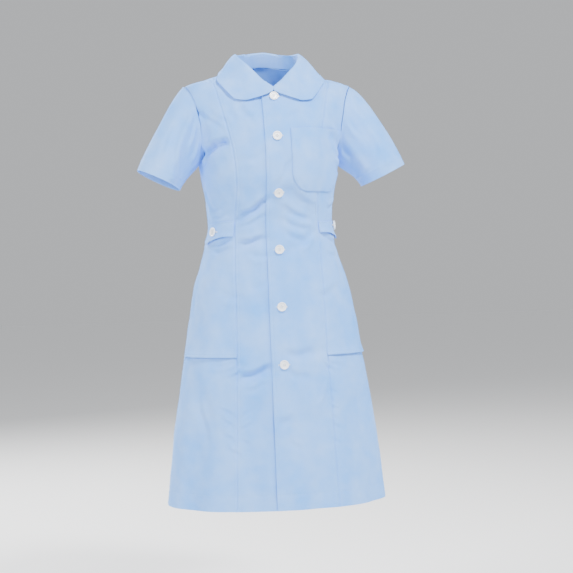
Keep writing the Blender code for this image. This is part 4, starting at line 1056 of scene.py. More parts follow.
@dataclass
class Panels:
    """The cut panels of the body."""

    finish: bpy.types.Material
    threads: Threads
    step: float = STEP
    back_step: float = BACK_STEP
    placket_gapes: tuple[tuple[float, float, float], ...] = ((-0.785, 0.050, 0.0030), (-0.93, 0.04, 0.0010))
    placket_rise: float = 0.0009
    placket_reach: float = 0.014
    mouth_lift: float = 0.0024

    def centre_front(self) -> Array:
        """Places of the +X centre front, from the overlap's edge to the princess seam."""
        heights = body_heights(self.step)
        shares = shares_over(0.078, self.step, False, True, (0.6,))
        rises = shares_over(0.17, self.step, False, True)
        left = FORM.angle_at(OVERLAP, heights)
        right = FORM.angle_at(FORM.princess.read("from_centre", heights), heights)
        rows = level_rows(left, right, shares, heights)
        neck = shares[shares <= 0.6 + 1e-9] / 0.6
        seam = (shares[shares > 0.6 + 1e-9] - 0.6) / 0.4
        start = float(FORM.neck_angle_at(OVERLAP))
        top = np.concatenate((
            FORM.neckline(start, math.pi / 2, neck),
            FORM.shoulder(FORM_RINGS[1][1], PRINCESS_SEAM[0][1], seam),
        ))
        edge_heights = ARMPIT_HEIGHT + (top[0, 1] - ARMPIT_HEIGHT) * rises
        edge = np.stack((FORM.angle_at(OVERLAP, edge_heights), edge_heights), axis=1)
        edge[-1] = top[0]
        yoke = FORM.patch(rows[-1], top, edge, FORM.princess_yoke(rises), shares, rises)
        main = np.concatenate((rows[:-1], yoke))
        return np.concatenate((self.overlap(main[:, 0, 1]), main), axis=1)

    def overlap(self, heights: Array) -> Array:
        """Columns of places that carry a front past the centre line, its edge first."""
        marks = OVERLAP * (2 * shares_over(2 * OVERLAP, self.step, True, False)[:-1] - 1)
        lift = np.clip((heights - ARMPIT_HEIGHT) / (heights[-1] - ARMPIT_HEIGHT), 0.0, 1.0)
        columns = []
        for mark in marks:
            top = float(FORM.neckline_height(FORM.neck_angle_at(abs(mark))))
            level = heights + lift * (top - heights[-1])
            columns.append(np.stack((FORM.angle_at(mark, level), level), axis=1))
        return np.stack(columns, axis=1)

    def side_front(self) -> tuple[Array, Array]:
        """Places of the +X side front above and below the hip pocket's mouth."""
        heights = body_heights(self.step, True)
        shares = shares_over(0.115, self.step)
        rises = shares_over(0.17, self.step, False, True)
        left = FORM.angle_at(FORM.princess.read("from_centre", heights), heights)
        rows = level_rows(left, np.full_like(left, math.pi / 2), shares, heights)
        tip = float(FORM.rings.read("half_width", ARMHOLE_TOP))
        top = FORM.shoulder(PRINCESS_SEAM[0][1], tip, shares)
        yoke = FORM.patch(rows[-1], top, FORM.princess_yoke(rises), FORM.armhole(False, rises), shares, rises)
        whole = np.concatenate((rows[:-1], yoke))
        split = int(np.argmin(np.abs(heights - HIP_POCKET_HEIGHT)))
        tuck_heights = HIP_POCKET_HEIGHT + np.linspace(0, MOUTH_LAP, 10)[1:]
        tuck_left = FORM.angle_at(FORM.princess.read("from_centre", tuck_heights), tuck_heights)
        tuck = level_rows(tuck_left, np.full_like(tuck_left, math.pi / 2), shares, tuck_heights)
        return whole[split:], np.concatenate((whole[:split + 1], tuck))

    def back(self) -> Array:
        """Places of the back, from the +X side seam round to the -X one."""
        heights = body_heights(self.back_step)
        neck_share = 8 / 22
        shares = shares_over(0.56, self.back_step, True, True, (neck_share, 1 - neck_share))
        rises = shares_over(0.17, self.back_step, False, True)
        side = np.full_like(heights, math.pi / 2)
        rows = level_rows(side, 3 * side, shares, heights)
        tip = float(FORM.rings.read("half_width", ARMHOLE_TOP))
        seam_part = shares[shares < neck_share - 1e-9] / neck_share
        neck_part = (shares - neck_share) / (1 - 2 * neck_share)
        neck_part = neck_part[(neck_part > -1e-9) & (neck_part < 1 + 1e-9)]
        seam = FORM.shoulder(tip, FORM_RINGS[1][1], seam_part)
        far_part = (1 - shares[shares > 1 - neck_share + 1e-9]) / neck_share
        far_seam = FORM.shoulder(tip, FORM_RINGS[1][1], far_part[::-1])[::-1]
        far_seam[:, 0] = 2 * math.pi - far_seam[:, 0]
        top = np.concatenate((seam, FORM.neckline(math.pi / 2, 3 * math.pi / 2, neck_part), far_seam))
        left = FORM.armhole(True, rises)
        right = np.stack((2 * math.pi - left[:, 0], left[:, 1]), axis=1)
        return np.concatenate((rows[:-1], FORM.patch(rows[-1], top, left, right, shares, rises)))

    def sheet(self, name: str, grid: Array, out: Array | float = 0.0) -> ClothSheet:
        """Sheet of draped cloth over a grid of places."""
        points, normals = FORM.cloth(grid[..., 0], grid[..., 1], out)
        return ClothSheet(name, points, normals)

    def hand_over(self, sheet: ClothSheet) -> None:
        """Build a panel, ride it on the dress and hide its solid."""
        piece = dress_piece(sheet.build(self.finish), "cloth", sheet.name)

    def build_fronts(self) -> None:
        """Make both centre fronts, the +X one lapping over the other."""
        grid = self.centre_front()
        left = self.sheet("front_left", grid)
        away = left.reach(Edge.LEFT)
        gape = sum(lift * bell(grid[..., 1] - level, reach) for level, reach, lift in self.placket_gapes)
        left.raise_by((gape + self.placket_rise) * bell(away, self.placket_reach))
        left.sew(Edge.LEFT, Sewing.STITCHED_FOLD, 11)
        left.sew(Edge.RIGHT, Sewing.TOPSTITCHED_SEAM, 12)
        left.sew(Edge.BOTTOM, Sewing.HEM, 13)
        self.threads.run("stitching_front_left", left.line(Edge.LEFT, 0.0060))
        self.threads.run("stitching_front_left", left.line(Edge.RIGHT, SEAM_TOPSTITCH))
        self.threads.run("stitching_front_left", left.line(Edge.BOTTOM, HEM_TURN))
        self.hand_over(left)
        under = mirrored(grid)
        from_centre = FORM.point(under[..., 0], under[..., 1])[..., 0]
        below = -LAYER * ramp(from_centre, -OVERLAP - UNDERLAP_RAMP, -OVERLAP)
        right = self.sheet("front_right", under, below)
        right.sew(Edge.RIGHT, Sewing.STITCHED_FOLD, 21)
        right.sew(Edge.LEFT, Sewing.TOPSTITCHED_SEAM, 22)
        right.sew(Edge.BOTTOM, Sewing.HEM, 23)
        self.threads.run("stitching_front_right", right.line(Edge.RIGHT, 0.0060))
        self.threads.run("stitching_front_right", right.line(Edge.LEFT, SEAM_TOPSTITCH))
        self.threads.run("stitching_front_right", right.line(Edge.BOTTOM, HEM_TURN))
        self.hand_over(right)

    def build_side_fronts(self) -> None:
        """Make both side fronts, each in two at the mouth of its hip pocket."""
        upper, lower = self.side_front()
        for side in ("left", "right"):
            turned = side == "right"
            princess, outer = (Edge.RIGHT, Edge.LEFT) if turned else (Edge.LEFT, Edge.RIGHT)
            seed = 40 if turned else 30
            grid = mirrored(upper) if turned else upper
            top = self.sheet("side_front_" + side + "_upper", grid)
            sag = 1 - ramp(np.abs(top.reach(Edge.LEFT) / top.reach(Edge.LEFT)[:, -1:] - 0.5), 0.3, 0.5)
            top.raise_by(self.mouth_lift * bell(top.reach(Edge.BOTTOM), 0.012) * (0.5 + sag))
            top.sew(Edge.BOTTOM, Sewing.STITCHED_FOLD, seed)
            top.sew(princess, Sewing.SEAM_UNDER, seed + 1)
            top.sew(outer, Sewing.PLAIN_SEAM, seed + 2)
            top.sew(Edge.TOP, Sewing.PLAIN_SEAM, seed + 3)
            self.threads.run("stitching_side_" + side, top.line(Edge.BOTTOM, 0.0055))
            self.hand_over(top)
            grid = mirrored(lower) if turned else lower
            depth = LAYER * ramp(grid[..., 1], HIP_POCKET_HEIGHT - 2 * MOUTH_RAMP, HIP_POCKET_HEIGHT)
            bottom = self.sheet("side_front_" + side + "_lower", grid, -depth)
            bottom.sew(princess, Sewing.SEAM_UNDER, seed + 4)
            bottom.sew(outer, Sewing.PLAIN_SEAM, seed + 5)
            bottom.sew(Edge.BOTTOM, Sewing.HEM, seed + 6)
            self.threads.run("stitching_side_" + side, bottom.line(Edge.BOTTOM, HEM_TURN))
            self.hand_over(bottom)

    def build_back(self) -> None:
        """Make the back, cut on the fold."""
        back = self.sheet("back", self.back())
        back.sew(Edge.LEFT, Sewing.PLAIN_SEAM, 61)
        back.sew(Edge.RIGHT, Sewing.PLAIN_SEAM, 62)
        back.sew(Edge.TOP, Sewing.PLAIN_SEAM, 63)
        back.sew(Edge.BOTTOM, Sewing.HEM, 64)
        self.threads.run("stitching_back", back.line(Edge.BOTTOM, HEM_TURN))
        self.hand_over(back)


@dataclass
class Sleeves:
    """The two set-in sleeves."""

    finish: bpy.types.Material
    threads: Threads
    half_columns: int = 62
    length: float = 0.205
    step: float = 0.0028

    def rim(self) -> Array:
        """Places round the +X armhole, from the underarm up the back and down the front."""
        rises = np.linspace(0.0, 1.0, self.half_columns + 1)
        back = FORM.armhole(True, rises)
        front = FORM.armhole(False, rises)[::-1]
        return np.concatenate((back, front[1:-1]))

    def surface(self, side: str) -> ClothSheet:
        """Outer sheet of one sleeve, before it is sewn.

        Args:
            side: left or right.

        Returns:
            The sheet, on its own side of the body.
        """
        hem = HemRing(*SLEEVE_HEMS[side])
        table = NamedTable("angle out forward down start_reach end_reach", SLEEVE_STARTS
                           + tuple((row[0] + 360.0,) + row[1:] for row in SLEEVE_STARTS[:2])
                           + tuple((row[0] - 360.0,) + row[1:] for row in SLEEVE_STARTS[-2:]))
        places = self.rim()
        degrees = (180.0 + 360.0 * np.arange(len(places)) / len(places)) % 360.0
        starts = FORM.cloth(places[:, 0], places[:, 1])[0]
        out, down = table.read("out", degrees), table.read("down", degrees)
        turn = math.radians(hem.head_turn) * 0.5 * (1 + np.cos(np.radians(degrees)))
        leave = unit(np.stack((out * np.cos(turn) + down * np.sin(turn), -table.read("forward", degrees),
                               out * np.sin(turn) - down * np.cos(turn)), axis=1))
        slope = math.radians(hem.slope)
        outward = np.array((math.cos(slope), 0.0, math.sin(slope)))
        axis = np.array((math.sin(slope), 0.0, -math.cos(slope)))
        swing = np.radians(degrees)[:, None]
        last = (np.array((hem.from_centre, -hem.forward, hem.height)) + np.cos(swing) * outward * hem.high
                + np.sin(swing) * np.array((0.0, -1.0, 0.0)) * hem.wide)
        near = starts + leave * table.read("start_reach", degrees)[:, None]
        far = last - axis * table.read("end_reach", degrees)[:, None]
        t = shares_over(self.length, self.step)[:, None, None]
        surface = ((1 - t) ** 3 * starts + 3 * (1 - t) ** 2 * t * near
                   + 3 * (1 - t) * t * t * far + t ** 3 * last)
        normals = self.tube_normals(surface)
        surface = surface - normals * self.pressed_in(side, surface, degrees, hem)[..., None]
        surface = np.concatenate((surface, surface[:, :1]), axis=1)
        normals = np.concatenate((normals, normals[:, :1]), axis=1)
        if side == "right":
            surface[..., 0] *= -1
            normals[..., 0] *= -1
        return ClothSheet("sleeve_" + side, surface, normals)

    def tube_normals(self, surface: Array) -> Array:
        """Outward normals of a tube on the +X side."""
        around = np.roll(surface, -1, axis=1) - np.roll(surface, 1, axis=1)
        return unit(np.cross(np.gradient(surface, axis=0), around))

    def pressed_in(self, side: str, surface: Array, degrees: Array, hem: HemRing) -> Array:
        """How far folds and creases push the sleeve in, fading out at the armhole."""
        girth = 2 * math.pi * hem.wide
        length = float(np.linalg.norm(np.diff(surface, axis=0), axis=-1).sum(axis=0).mean())
        across = (degrees / 360.0 * girth)[None, :] + 0 * surface[..., 0]
        along = np.linalg.norm(np.diff(surface, axis=0), axis=-1)
        along = np.pad(np.cumsum(along, axis=0), ((1, 0), (0, 0)))
        along = along / along[-1:] * length
        depth = np.zeros_like(across)
        for rows, shape, gain in ((SLEEVE_FOLDS[side], trough_depth, 1.0),
                                  (SLEEVE_CREASES[side], crease_depth, SLEEVE_CREASE_GAIN)):
            for line in map(Trough._make, rows):
                start = (line.start_angle / 360.0 * girth, line.start_height * length)
                end = (line.end_angle / 360.0 * girth, line.end_height * length)
                depth += shape(across, along, start, end, line.half_width, line.depth * gain)
        return ramp(along, 0.0, 0.15 * length) * depth - 0.7 * waviness(surface)

    def build(self) -> None:
        """Make both sleeves."""
        for side, seed in (("left", 70), ("right", 80)):
            sleeve = self.surface(side)
            sleeve.sew(Edge.BOTTOM, Sewing.PLAIN_SEAM, seed)
            sleeve.sew(Edge.TOP, Sewing.SLEEVE_HEM, seed + 1)
            self.threads.run("stitching_sleeve_" + side, sleeve.line(Edge.TOP, SLEEVE_TURN))
            piece = dress_piece(sleeve.build(self.finish, tube=True), "cloth", sleeve.name + "_front",
                                sleeve.name + "_back")


@dataclass
class Collar:
    """The round collar, stand and leaves in one fall."""

    finish: bpy.types.Material
    threads: Threads
    half_columns: int = 105
    stand_rows: int = 9
    clearance: float = 0.0026
    wall: float = 0.0016
    crown: float = 0.0065
    crown_share: float = 0.35
    column_ease: float = 1.25
    topstitch: float = 0.0060
    edge_lift: float = 0.0014

    def half(self) -> Array:
        """Inner points of the +X half, from the seat over the roll to the leaf's edge."""
        stand = NamedTable("angle rise lean", COLLAR_STAND)
        rim = NamedTable("angle leaf_angle height", COLLAR_EDGE)
        angles = math.pi * np.linspace(0.0, 1.0, self.half_columns + 1) ** self.column_ease
        degrees = np.degrees(angles)
        seat = FORM.point(angles, FORM.neckline_height(angles))
        outward = np.stack((np.sin(angles), -np.cos(angles), 0 * angles), axis=1)
        roll = seat - outward * stand.read("lean", degrees)[:, None]
        roll[:, 2] += stand.read("rise", degrees) + 0.0009
        edge = FORM.cloth(np.radians(rim.read("leaf_angle", degrees)), rim.read("height", degrees),
                          self.clearance)[0]
        rows = [seat + (roll - seat) * t for t in np.linspace(0.0, 1.0, self.stand_rows + 1)[:-1]]
        crown = np.minimum(self.crown, self.crown_share * np.linalg.norm(edge - roll, axis=1))
        control = roll + outward * crown[:, None]
        control[:, 2] += self.crown_share * crown
        rises = shares_over(0.075, 0.0024, False, True)
        rows += [(1 - t) ** 2 * roll + 2 * t * (1 - t) * control + t * t * edge for t in rises]
        return np.array(rows)

    def build(self) -> None:
        """Make the collar and its topstitching."""
        half = self.half()
        half[:, 0, 0] = np.maximum(half[:, 0, 0], 0.0002)
        other = half[:, ::-1].copy()
        other[..., 0] *= -1
        inner = np.concatenate((half, other[:, 1:]), axis=1)
        leaf = slice(self.stand_rows, None)
        inner[leaf] = FORM.settle(inner[leaf], self.clearance, pull=False)
        shown = -unit(np.cross(np.gradient(inner, axis=1), np.gradient(inner, axis=0)))
        outer = inner + shown * self.wall
        sheet = ClothSheet("collar", outer, shown)
        sheet.raise_by(0.6 * waviness(outer))
        edge = sheet.reach(Edge.TOP)
        ends = np.minimum(sheet.reach(Edge.LEFT), sheet.reach(Edge.RIGHT))
        sheet.raise_by(0.0004 * bell(edge - 0.003, 0.0026) - 0.0004 * bell(edge - self.topstitch, 0.0012)
                       - 0.0006 * bell(edge, 0.0009) - 0.0005 * bell(ends, 0.0010))
        sheet.raise_by(self.edge_lift * bell(edge, 0.012))
        self.threads.run("stitching_collar", sheet.line(Edge.TOP, self.topstitch))
        piece = dress_piece(sheet.build(self.finish, self.wall), "cloth", "collar")


@dataclass
class PatchPieces:
    """The chest pocket and the waist tabs, sewn on the panels."""

    finish: bpy.types.Material
    threads: Threads
    above: float = 0.0024
    pocket_inner: float = 0.030
    pocket_outer: float = math.radians(71.0)
    pocket_top: float = -0.149
    pocket_bottom: float = -0.286
    pocket_corner: float = 0.042
    pocket_hem: float = 0.024
    tab_end: float = math.radians(86.0)
    tab_rounding: float = 0.6
    tab_end_share: float = 0.16
    tab_topstitch: float = 0.0034
    tab_lift: float = 0.0028
    tab_press: float = 0.0012

    def pocket_places(self, inset: float, heights: Array, shares: Array) -> Array:
        """Places of the pocket, drawn in by an inset."""
        low, corner = self.pocket_bottom + inset, self.pocket_corner - inset
        drop = np.clip((low + corner - heights) / corner, 0.0, 1.0)
        pull = corner * (1 - np.sqrt(1 - drop ** 2))
        start = FORM.angle_at(self.pocket_inner + inset, heights)
        radius = FORM.radius(np.full_like(heights, self.pocket_outer), heights)
        return level_rows(start + pull / radius, self.pocket_outer - (inset + pull) / radius, shares, heights)

    def pocket_outline(self, inset: float) -> tuple[Array, Array]:
        """Points and normals down one side of the pocket, along its bottom and up the other."""
        low = self.pocket_bottom + inset
        turn = np.linspace(0.0, math.pi / 2, 24)
        curve = low + (self.pocket_corner - inset) * (1 - np.cos(turn))
        heights = np.concatenate((curve[:-1], np.linspace(curve[-1], self.pocket_top - 0.001, 40)))
        sides = self.pocket_places(inset, heights, np.array((0.0, 1.0)))
        floor = self.pocket_places(inset, heights[:1], np.linspace(0.0, 1.0, 30))[0]
        path = np.concatenate((sides[::-1, 0], floor[1:-1], sides[:, 1]))
        return FORM.cloth(path[:, 0], path[:, 1], self.above + 0.0001)

    def build_pocket(self) -> None:
        """Make the patch pocket with its turned top and its edge stitching."""
        turn = np.linspace(0.0, math.pi / 2, 34)
        curve = self.pocket_bottom + self.pocket_corner * (1 - np.cos(turn))
        straight = self.pocket_top - curve[-1]
        rises = shares_over(straight, 0.0022, False, True)
        heights = np.concatenate((curve[:-1], curve[-1] + straight * rises))
        shares = shares_over(0.124, 0.0022)
        grid = self.pocket_places(0.0, heights, shares)
        points, normals = FORM.cloth(grid[..., 0], grid[..., 1], self.above)
        sheet = ClothSheet("chest_pocket", points, normals)
        sides = np.minimum(sheet.reach(Edge.LEFT), sheet.reach(Edge.RIGHT))
        rim = np.minimum(sides, sheet.reach(Edge.BOTTOM))
        top = sheet.reach(Edge.TOP)
        puff = 0.0011 * ramp(rim, 0.002, 0.030)
        mouth = 0.0013 * bell(top, 0.020) * ramp(sides, 0.002, 0.035)
        stitched = -0.00035 * bell(rim - 0.0024, 0.0012) - 0.00035 * bell(top - self.pocket_hem, 0.0012)
        sheet.raise_by(puff + mouth + stitched - 0.0006 * bell(rim, 0.0010) - 0.0003 * bell(top, 0.0009))
        path, facing = self.pocket_outline(0.0024)
        self.threads.run("stitching_pocket", (path, facing))
        self.threads.run("stitching_pocket", sheet.line(Edge.TOP, self.pocket_hem, 0.003, 0.121))
        piece = dress_piece(sheet.build(self.finish), "cloth", "chest_pocket")

    def tab_places(self, side: str, inset: float, shares: Array, levels: Array) -> Array:
        """Places of one tab as on the +X side, drawn in by an inset at its free edges."""
        seam = float(FORM.angle_at(FORM.princess.read("from_centre", TAB_HEIGHT), TAB_HEIGHT))
        radius = float(FORM.radius(np.array(seam), np.array(TAB_HEIGHT)))
        start = seam + 0.0012 / radius
        end = self.tab_end - inset / radius
        angles = start + (end - start) * shares
        edges = NamedTable("share low top", TAB_EDGES[side])
        low, top = edges.read("low", shares) + inset, edges.read("top", shares) - inset
        run = np.clip((shares - 1 + self.tab_end_share) / self.tab_end_share, 0.0, 1.0)
        half = 0.5 * (top - low) * (1 - self.tab_rounding * (1 - np.sqrt(1 - run ** 2)))
        heights = TAB_HEIGHT + 0.5 * (low + top) + levels[:, None] * half[None, :]
        return np.stack((angles[None, :] + 0 * heights, heights), axis=-1)

    def build_tabs(self) -> None:
        """Make both waist tabs."""
        shares = shares_over(0.078, 0.0020)
        levels = 2 * shares_over(0.036, 0.0020) - 1
        for side in ("left", "right"):
            grid = self.tab_places(side, 0.0, shares, levels)
            inset = self.tab_topstitch
            route = np.concatenate((
                self.tab_places(side, inset, np.linspace(0.0, 1.0, 60), np.array((-1.0,)))[0],
                self.tab_places(side, inset, np.array((1.0,)), np.linspace(-1.0, 1.0, 14))[1:-1, 0],
                self.tab_places(side, inset, np.linspace(1.0, 0.0, 60), np.array((1.0,)))[0],
            ))
            if side == "right":
                grid = mirrored(grid)
                route = route * np.array((-1.0, 1.0))
            name = "waist_tab_" + side
            points, normals = FORM.cloth(grid[..., 0], grid[..., 1], self.above + 0.0004)
            sheet = ClothSheet(name, points, normals)
            free = Edge.LEFT if side == "right" else Edge.RIGHT
            sewn = Edge.RIGHT if side == "right" else Edge.LEFT
            rim = np.minimum(np.minimum(sheet.reach(Edge.BOTTOM), sheet.reach(Edge.TOP)), sheet.reach(free))
            from_seam = sheet.reach(sewn)
            lift = (self.tab_lift * bell(sheet.reach(Edge.BOTTOM), 0.011) * ramp(from_seam, 0.0, 0.012)
                    - self.tab_press * bell(sheet.reach(Edge.TOP), 0.007))
            sheet.raise_by(lift + 0.0003 * bell(rim - 0.0016, 0.0015) - 0.0004 * bell(rim - inset, 0.0011)
                           - 0.0005 * bell(rim, 0.0008) - 0.0014 * bell(from_seam, 0.0020))
            path, facing = FORM.cloth(route[:, 0], route[:, 1], self.above + 0.0004)
            near = np.linalg.norm(path[:, None] - sheet.points.reshape(-1, 3)[None], axis=-1).argmin(axis=1)
            gap = ((sheet.points.reshape(-1, 3)[near] - path) * facing).sum(axis=1)
            self.threads.run("stitching_" + name, (path + facing * gap[:, None], facing))
            piece = dress_piece(sheet.build(self.finish, 0.0016), "cloth", name)


@dataclass
class Buttons:
    """The six front buttons and one on each tab, with their holes and threads."""

    finish: bpy.types.Material
    threads: Threads
    radius: float = 0.0100
    thickness: float = 0.0032
    rim: float = 0.0021
    dish: float = 0.0014
    hole_radius: float = 0.00105
    hole_reach: float = 0.0021
    seat: float = 0.0007
    slit_half: float = 0.0125
    tab_lift: float = 0.0036

    def pattern(self) -> bpy.types.Object:
        """The button that all the others copy, standing on the origin and facing +Z."""
        deselect_all()
        bpy.ops.mesh.primitive_cylinder_add(vertices=56, radius=self.radius, depth=self.thickness,
                                            location=(0, 0, self.thickness / 2))
        piece = bpy.context.object
        bpy.ops.object.transform_apply(location=True, rotation=True, scale=True)
        bpy.ops.object.mode_set(mode="EDIT")
        bpy.ops.mesh.select_mode(type="FACE")
        bpy.ops.mesh.select_all(action="DESELECT")
        bpy.ops.object.mode_set(mode="OBJECT")
        top = max(piece.data.polygons, key=lambda face: face.center.z)
        top.select = True
        bpy.ops.object.mode_set(mode="EDIT")
        for width, drop in ((0.0005, 0.0), (self.rim - 0.0005, 0.0), (0.0009, -self.dish),
                            (0.0012, 0.0), (0.0022, 0.00012)):
            bpy.ops.mesh.inset(thickness=width, depth=drop)
        bpy.ops.object.mode_set(mode="OBJECT")
        bevel = piece.modifiers.new("rounding", "BEVEL")
        bevel.width = 0.0005
        bevel.segments = 3
        bevel.limit_method = "ANGLE"
        bevel.angle_limit = math.radians(28)
        make_active(piece)
        bpy.ops.object.modifier_apply(modifier=bevel.name)
        for x in (-1, 1):
            for y in (-1, 1):
                deselect_all()
                bpy.ops.mesh.primitive_cylinder_add(
                    vertices=16, radius=self.hole_radius, depth=0.012,
                    location=(x * self.hole_reach * 0.7, y * self.hole_reach * 0.7, 0.002))
                drill = bpy.context.object
                make_active(piece)
                cut = piece.modifiers.new("hole", "BOOLEAN")
                cut.operation = "DIFFERENCE"
                cut.object = drill
                bpy.ops.object.modifier_apply(modifier=cut.name)
                bpy.data.objects.remove(drill, do_unlink=True)
        make_active(piece)
        bpy.ops.object.shade_smooth_by_angle(angle=math.radians(32))
        piece.data.materials.clear()
        piece.data.materials.append(self.finish)
        return piece

    def place(self, pattern: bpy.types.Object, name: str, angle: float, height: float, out: float,
              turned: float) -> None:
        """Copy the pattern to its place on the cloth and sew it on.

        Args:
            pattern: The button that is copied.
            name: Name of the new button and of the solid it stands for.
            angle, height: Its place on the form.
            out: How far the cloth under it lies above the form.
            turned: How far it is turned about its own middle.
        """
        point, normal = FORM.cloth(np.array(angle), np.array(height), out + self.seat)
        facing = Vector(normal).to_track_quat("Z", "Y").to_matrix().to_4x4()
        matrix = Matrix.Translation(Vector(point)) @ facing @ Matrix.Rotation(turned, 4, "Z")
        piece = pattern.copy()
        piece.data = pattern.data.copy()
        piece.name = name
        piece.data.name = name
        bpy.context.scene.collection.objects.link(piece)
        piece.data.transform(matrix)
        dress_piece(piece, "button", name)
        basis = np.array(matrix.to_3x3())
        level = self.thickness - self.dish + 0.0003
        reach = 0.7 * self.hole_reach
        for y in (-1, 1):
            for shift in (-0.00035, 0.0, 0.00035):
                centre = np.array(matrix @ Vector((0, y * reach + shift, level)))
                self.threads.place("button_threads", centre[None], basis[:, 0][None], basis[:, 2][None],
                                   (reach + 0.0005, 0.00026, 0.00032))

    def buttonhole(self, angle: float, height: float, out: float, flat: bool) -> None:
        """Work one buttonhole: close bar stitches on both sides of its slit."""
        radius = float(FORM.radius(np.array(angle), np.array(height)))
        count = int(2 * self.slit_half / 0.00062)
        along = np.linspace(-self.slit_half, self.slit_half, count)
        for side in (-1, 1):
            aside = side * 0.00095
            angles = angle + (along if flat else aside) / radius + 0 * along
            heights = height + (aside if flat else along) + 0 * along
            points, normals = FORM.cloth(angles, heights, out + 0.0001)
            across = np.array((0.0, 0.0, 1.0)) if flat else np.cross(normals, np.array((0.0, 0.0, 1.0)))
            ahead = across + 0 * normals
            self.threads.place("buttonholes", points, ahead, normals, (0.00085, 0.00028, 0.00028))
        for end in (-self.slit_half, self.slit_half):
            spread = np.linspace(-0.0014, 0.0014, 6)
            angles = angle + (end if flat else spread) / radius + 0 * spread
            heights = height + (spread if flat else end) + 0 * spread
            points, normals = FORM.cloth(angles, heights, out + 0.0001)
            upright = np.array((0.0, 0.0, 1.0)) + 0 * normals
            ahead = np.cross(normals, upright) if flat else upright
            self.threads.place("buttonholes", points, ahead, normals, (0.0009, 0.00026, 0.00028))

    def build(self) -> None:
        """Make every button with its threads and buttonhole."""
        pattern = self.pattern()
        turns = (0.10, 0.62, -0.22, 0.35, -0.50, 0.18)
        for number, (height, turned) in enumerate(zip(BUTTON_HEIGHTS, turns), start=1):
            self.place(pattern, "button_%d" % number, 0.0, height, 0.0, turned)
            self.buttonhole(0.0, height, 0.0, True)
        for side, (angle, height) in TAB_BUTTONS.items():
            turned = 0.3 * math.copysign(1, angle)
            self.place(pattern, "tab_button_" + side, angle, height, self.tab_lift, turned)
            self.buttonhole(angle, height, self.tab_lift, True)
        bpy.data.objects.remove(pattern, do_unlink=True)


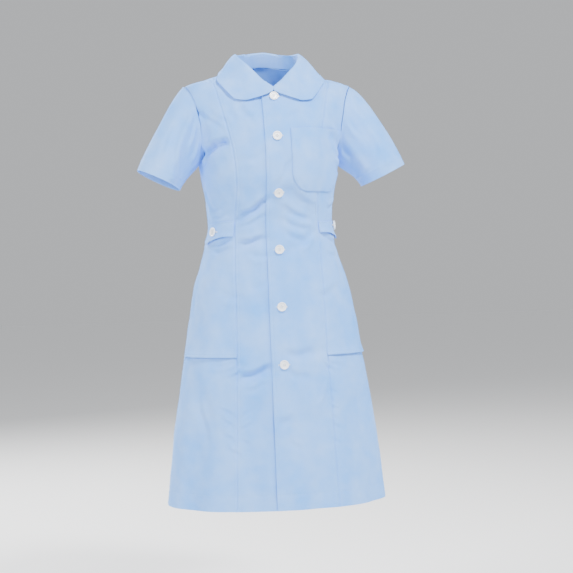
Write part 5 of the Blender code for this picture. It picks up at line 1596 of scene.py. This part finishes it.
@dataclass
class Studio:
    """Plain pale floor, soft light and the camera."""

    floor_height: float = -1.32
    azimuth: float = math.radians(-9.5)
    distance: float = 2.90
    eye_height: float = -0.4905
    focal: float = 1289.0
    axis_pixel: tuple[float, float] = (272.0, 286.0)
    frame_pixels: float = 573.0
    roll: float = math.radians(1.45)
    room_light: float = 0.60
    room_tint: tuple[float, float, float] = (0.95, 0.97, 1.0)
    floor_shade: float = 0.98

    def build_floor(self) -> None:
        """Lay the floor."""
        deselect_all()
        bpy.ops.mesh.primitive_grid_add(x_subdivisions=8, y_subdivisions=8, size=60,
                                        location=(0, 0, self.floor_height))
        floor = bpy.context.object
        floor.name = "studio_floor"
        bpy.ops.object.transform_apply(location=True, rotation=True, scale=True)
        made = bpy.data.materials.new("studio_floor")
        made.use_nodes = True
        shader = made.node_tree.nodes["Principled BSDF"]
        shader.inputs["Base Color"].default_value = (self.floor_shade,) * 3 + (1.0,)
        shader.inputs["Roughness"].default_value = 0.9
        floor.data.materials.append(made)

    def add_light(self, name: str, place: tuple[float, float, float], size: float, power: float) -> None:
        """Add one soft light that faces the middle of the dress."""
        data = bpy.data.lights.new(name, "AREA")
        data.shape = "DISK"
        data.size = size
        data.energy = power
        lamp = bpy.data.objects.new(name, data)
        bpy.context.scene.collection.objects.link(lamp)
        lamp.location = place
        lamp.rotation_euler = (Vector((0, 0, -0.45)) - Vector(place)).to_track_quat("-Z", "Y").to_euler()

    def build_lights(self) -> None:
        """Set the room's light and the lamps."""
        world = bpy.data.worlds.new("studio_light")
        bpy.context.scene.world = world
        world.use_nodes = True
        tree = world.node_tree
        lighting = tree.nodes["Background"]
        lighting.inputs["Color"].default_value = (*self.room_tint, 1.0)
        lighting.inputs["Strength"].default_value = self.room_light
        seen = tree.nodes.new("ShaderNodeBackground")
        seen.inputs["Color"].default_value = (*self.room_tint, 1.0)
        seen.inputs["Strength"].default_value = self.room_light * self.floor_shade
        path = tree.nodes.new("ShaderNodeLightPath")
        choose = tree.nodes.new("ShaderNodeMixShader")
        tree.links.new(path.outputs["Is Camera Ray"], choose.inputs[0])
        tree.links.new(lighting.outputs[0], choose.inputs[1])
        tree.links.new(seen.outputs[0], choose.inputs[2])
        tree.links.new(choose.outputs[0], tree.nodes["World Output"].inputs["Surface"])
        self.add_light("key", (0.9, -2.3, 2.3), 0.6, 230.0)
        self.add_light("left", (-2.6, -1.7, 0.9), 1.0, 100.0)
        self.add_light("right", (2.7, -0.9, 0.9), 0.9, 60.0)
        self.add_light("behind", (-1.6, 3.0, 1.8), 1.2, 260.0)

    def build_camera(self) -> None:
        """Set the camera where the photograph was taken from."""
        data = bpy.data.cameras.new("camera")
        camera = bpy.data.objects.new("camera", data)
        bpy.context.scene.collection.objects.link(camera)
        data.sensor_width = 36.0
        data.lens = self.focal / self.frame_pixels * data.sensor_width
        back = Vector((math.sin(self.azimuth), -math.cos(self.azimuth), 0.0))
        camera.location = Vector((0.0, 0.0, self.eye_height)) + back * self.distance
        upright = Matrix.Rotation(self.azimuth, 3, "Z") @ Matrix.Rotation(math.radians(90), 3, "X")
        camera.rotation_euler = (upright @ Matrix.Rotation(-self.roll, 3, "Z")).to_euler()
        middle = 0.5 * self.frame_pixels
        data.shift_x = (middle - self.axis_pixel[0]) / self.frame_pixels
        data.shift_y = (self.axis_pixel[1] - middle) / self.frame_pixels
        bpy.context.scene.camera = camera

    def build(self) -> None:
        """Set the floor, the light and the camera."""
        self.build_floor()
        self.build_lights()
        self.build_camera()


def main() -> None:
    """Dress every solid of the garment and set the studio."""
    weave = weave_group()
    cloth = CLOTH.material(weave)
    threads = Threads(THREAD.material(weave))
    button_threads = Threads(BUTTON_THREAD.material(weave))
    Studio().build()
    panels = Panels(cloth, threads)
    panels.build_fronts()
    panels.build_side_fronts()
    panels.build_back()
    Sleeves(cloth, threads).build()
    Collar(cloth, threads).build()
    patches = PatchPieces(cloth, threads)
    patches.build_pocket()
    patches.build_tabs()
    Buttons(BUTTON.material(moulded_group()), button_threads).build()
    for piece in threads.build():
        dress_piece(piece, "cloth")
    for piece in button_threads.build():
        dress_piece(piece, "button")


if __name__ == "__main__":
    logging.basicConfig(level=logging.INFO, format="%(name)s %(message)s")
    main()
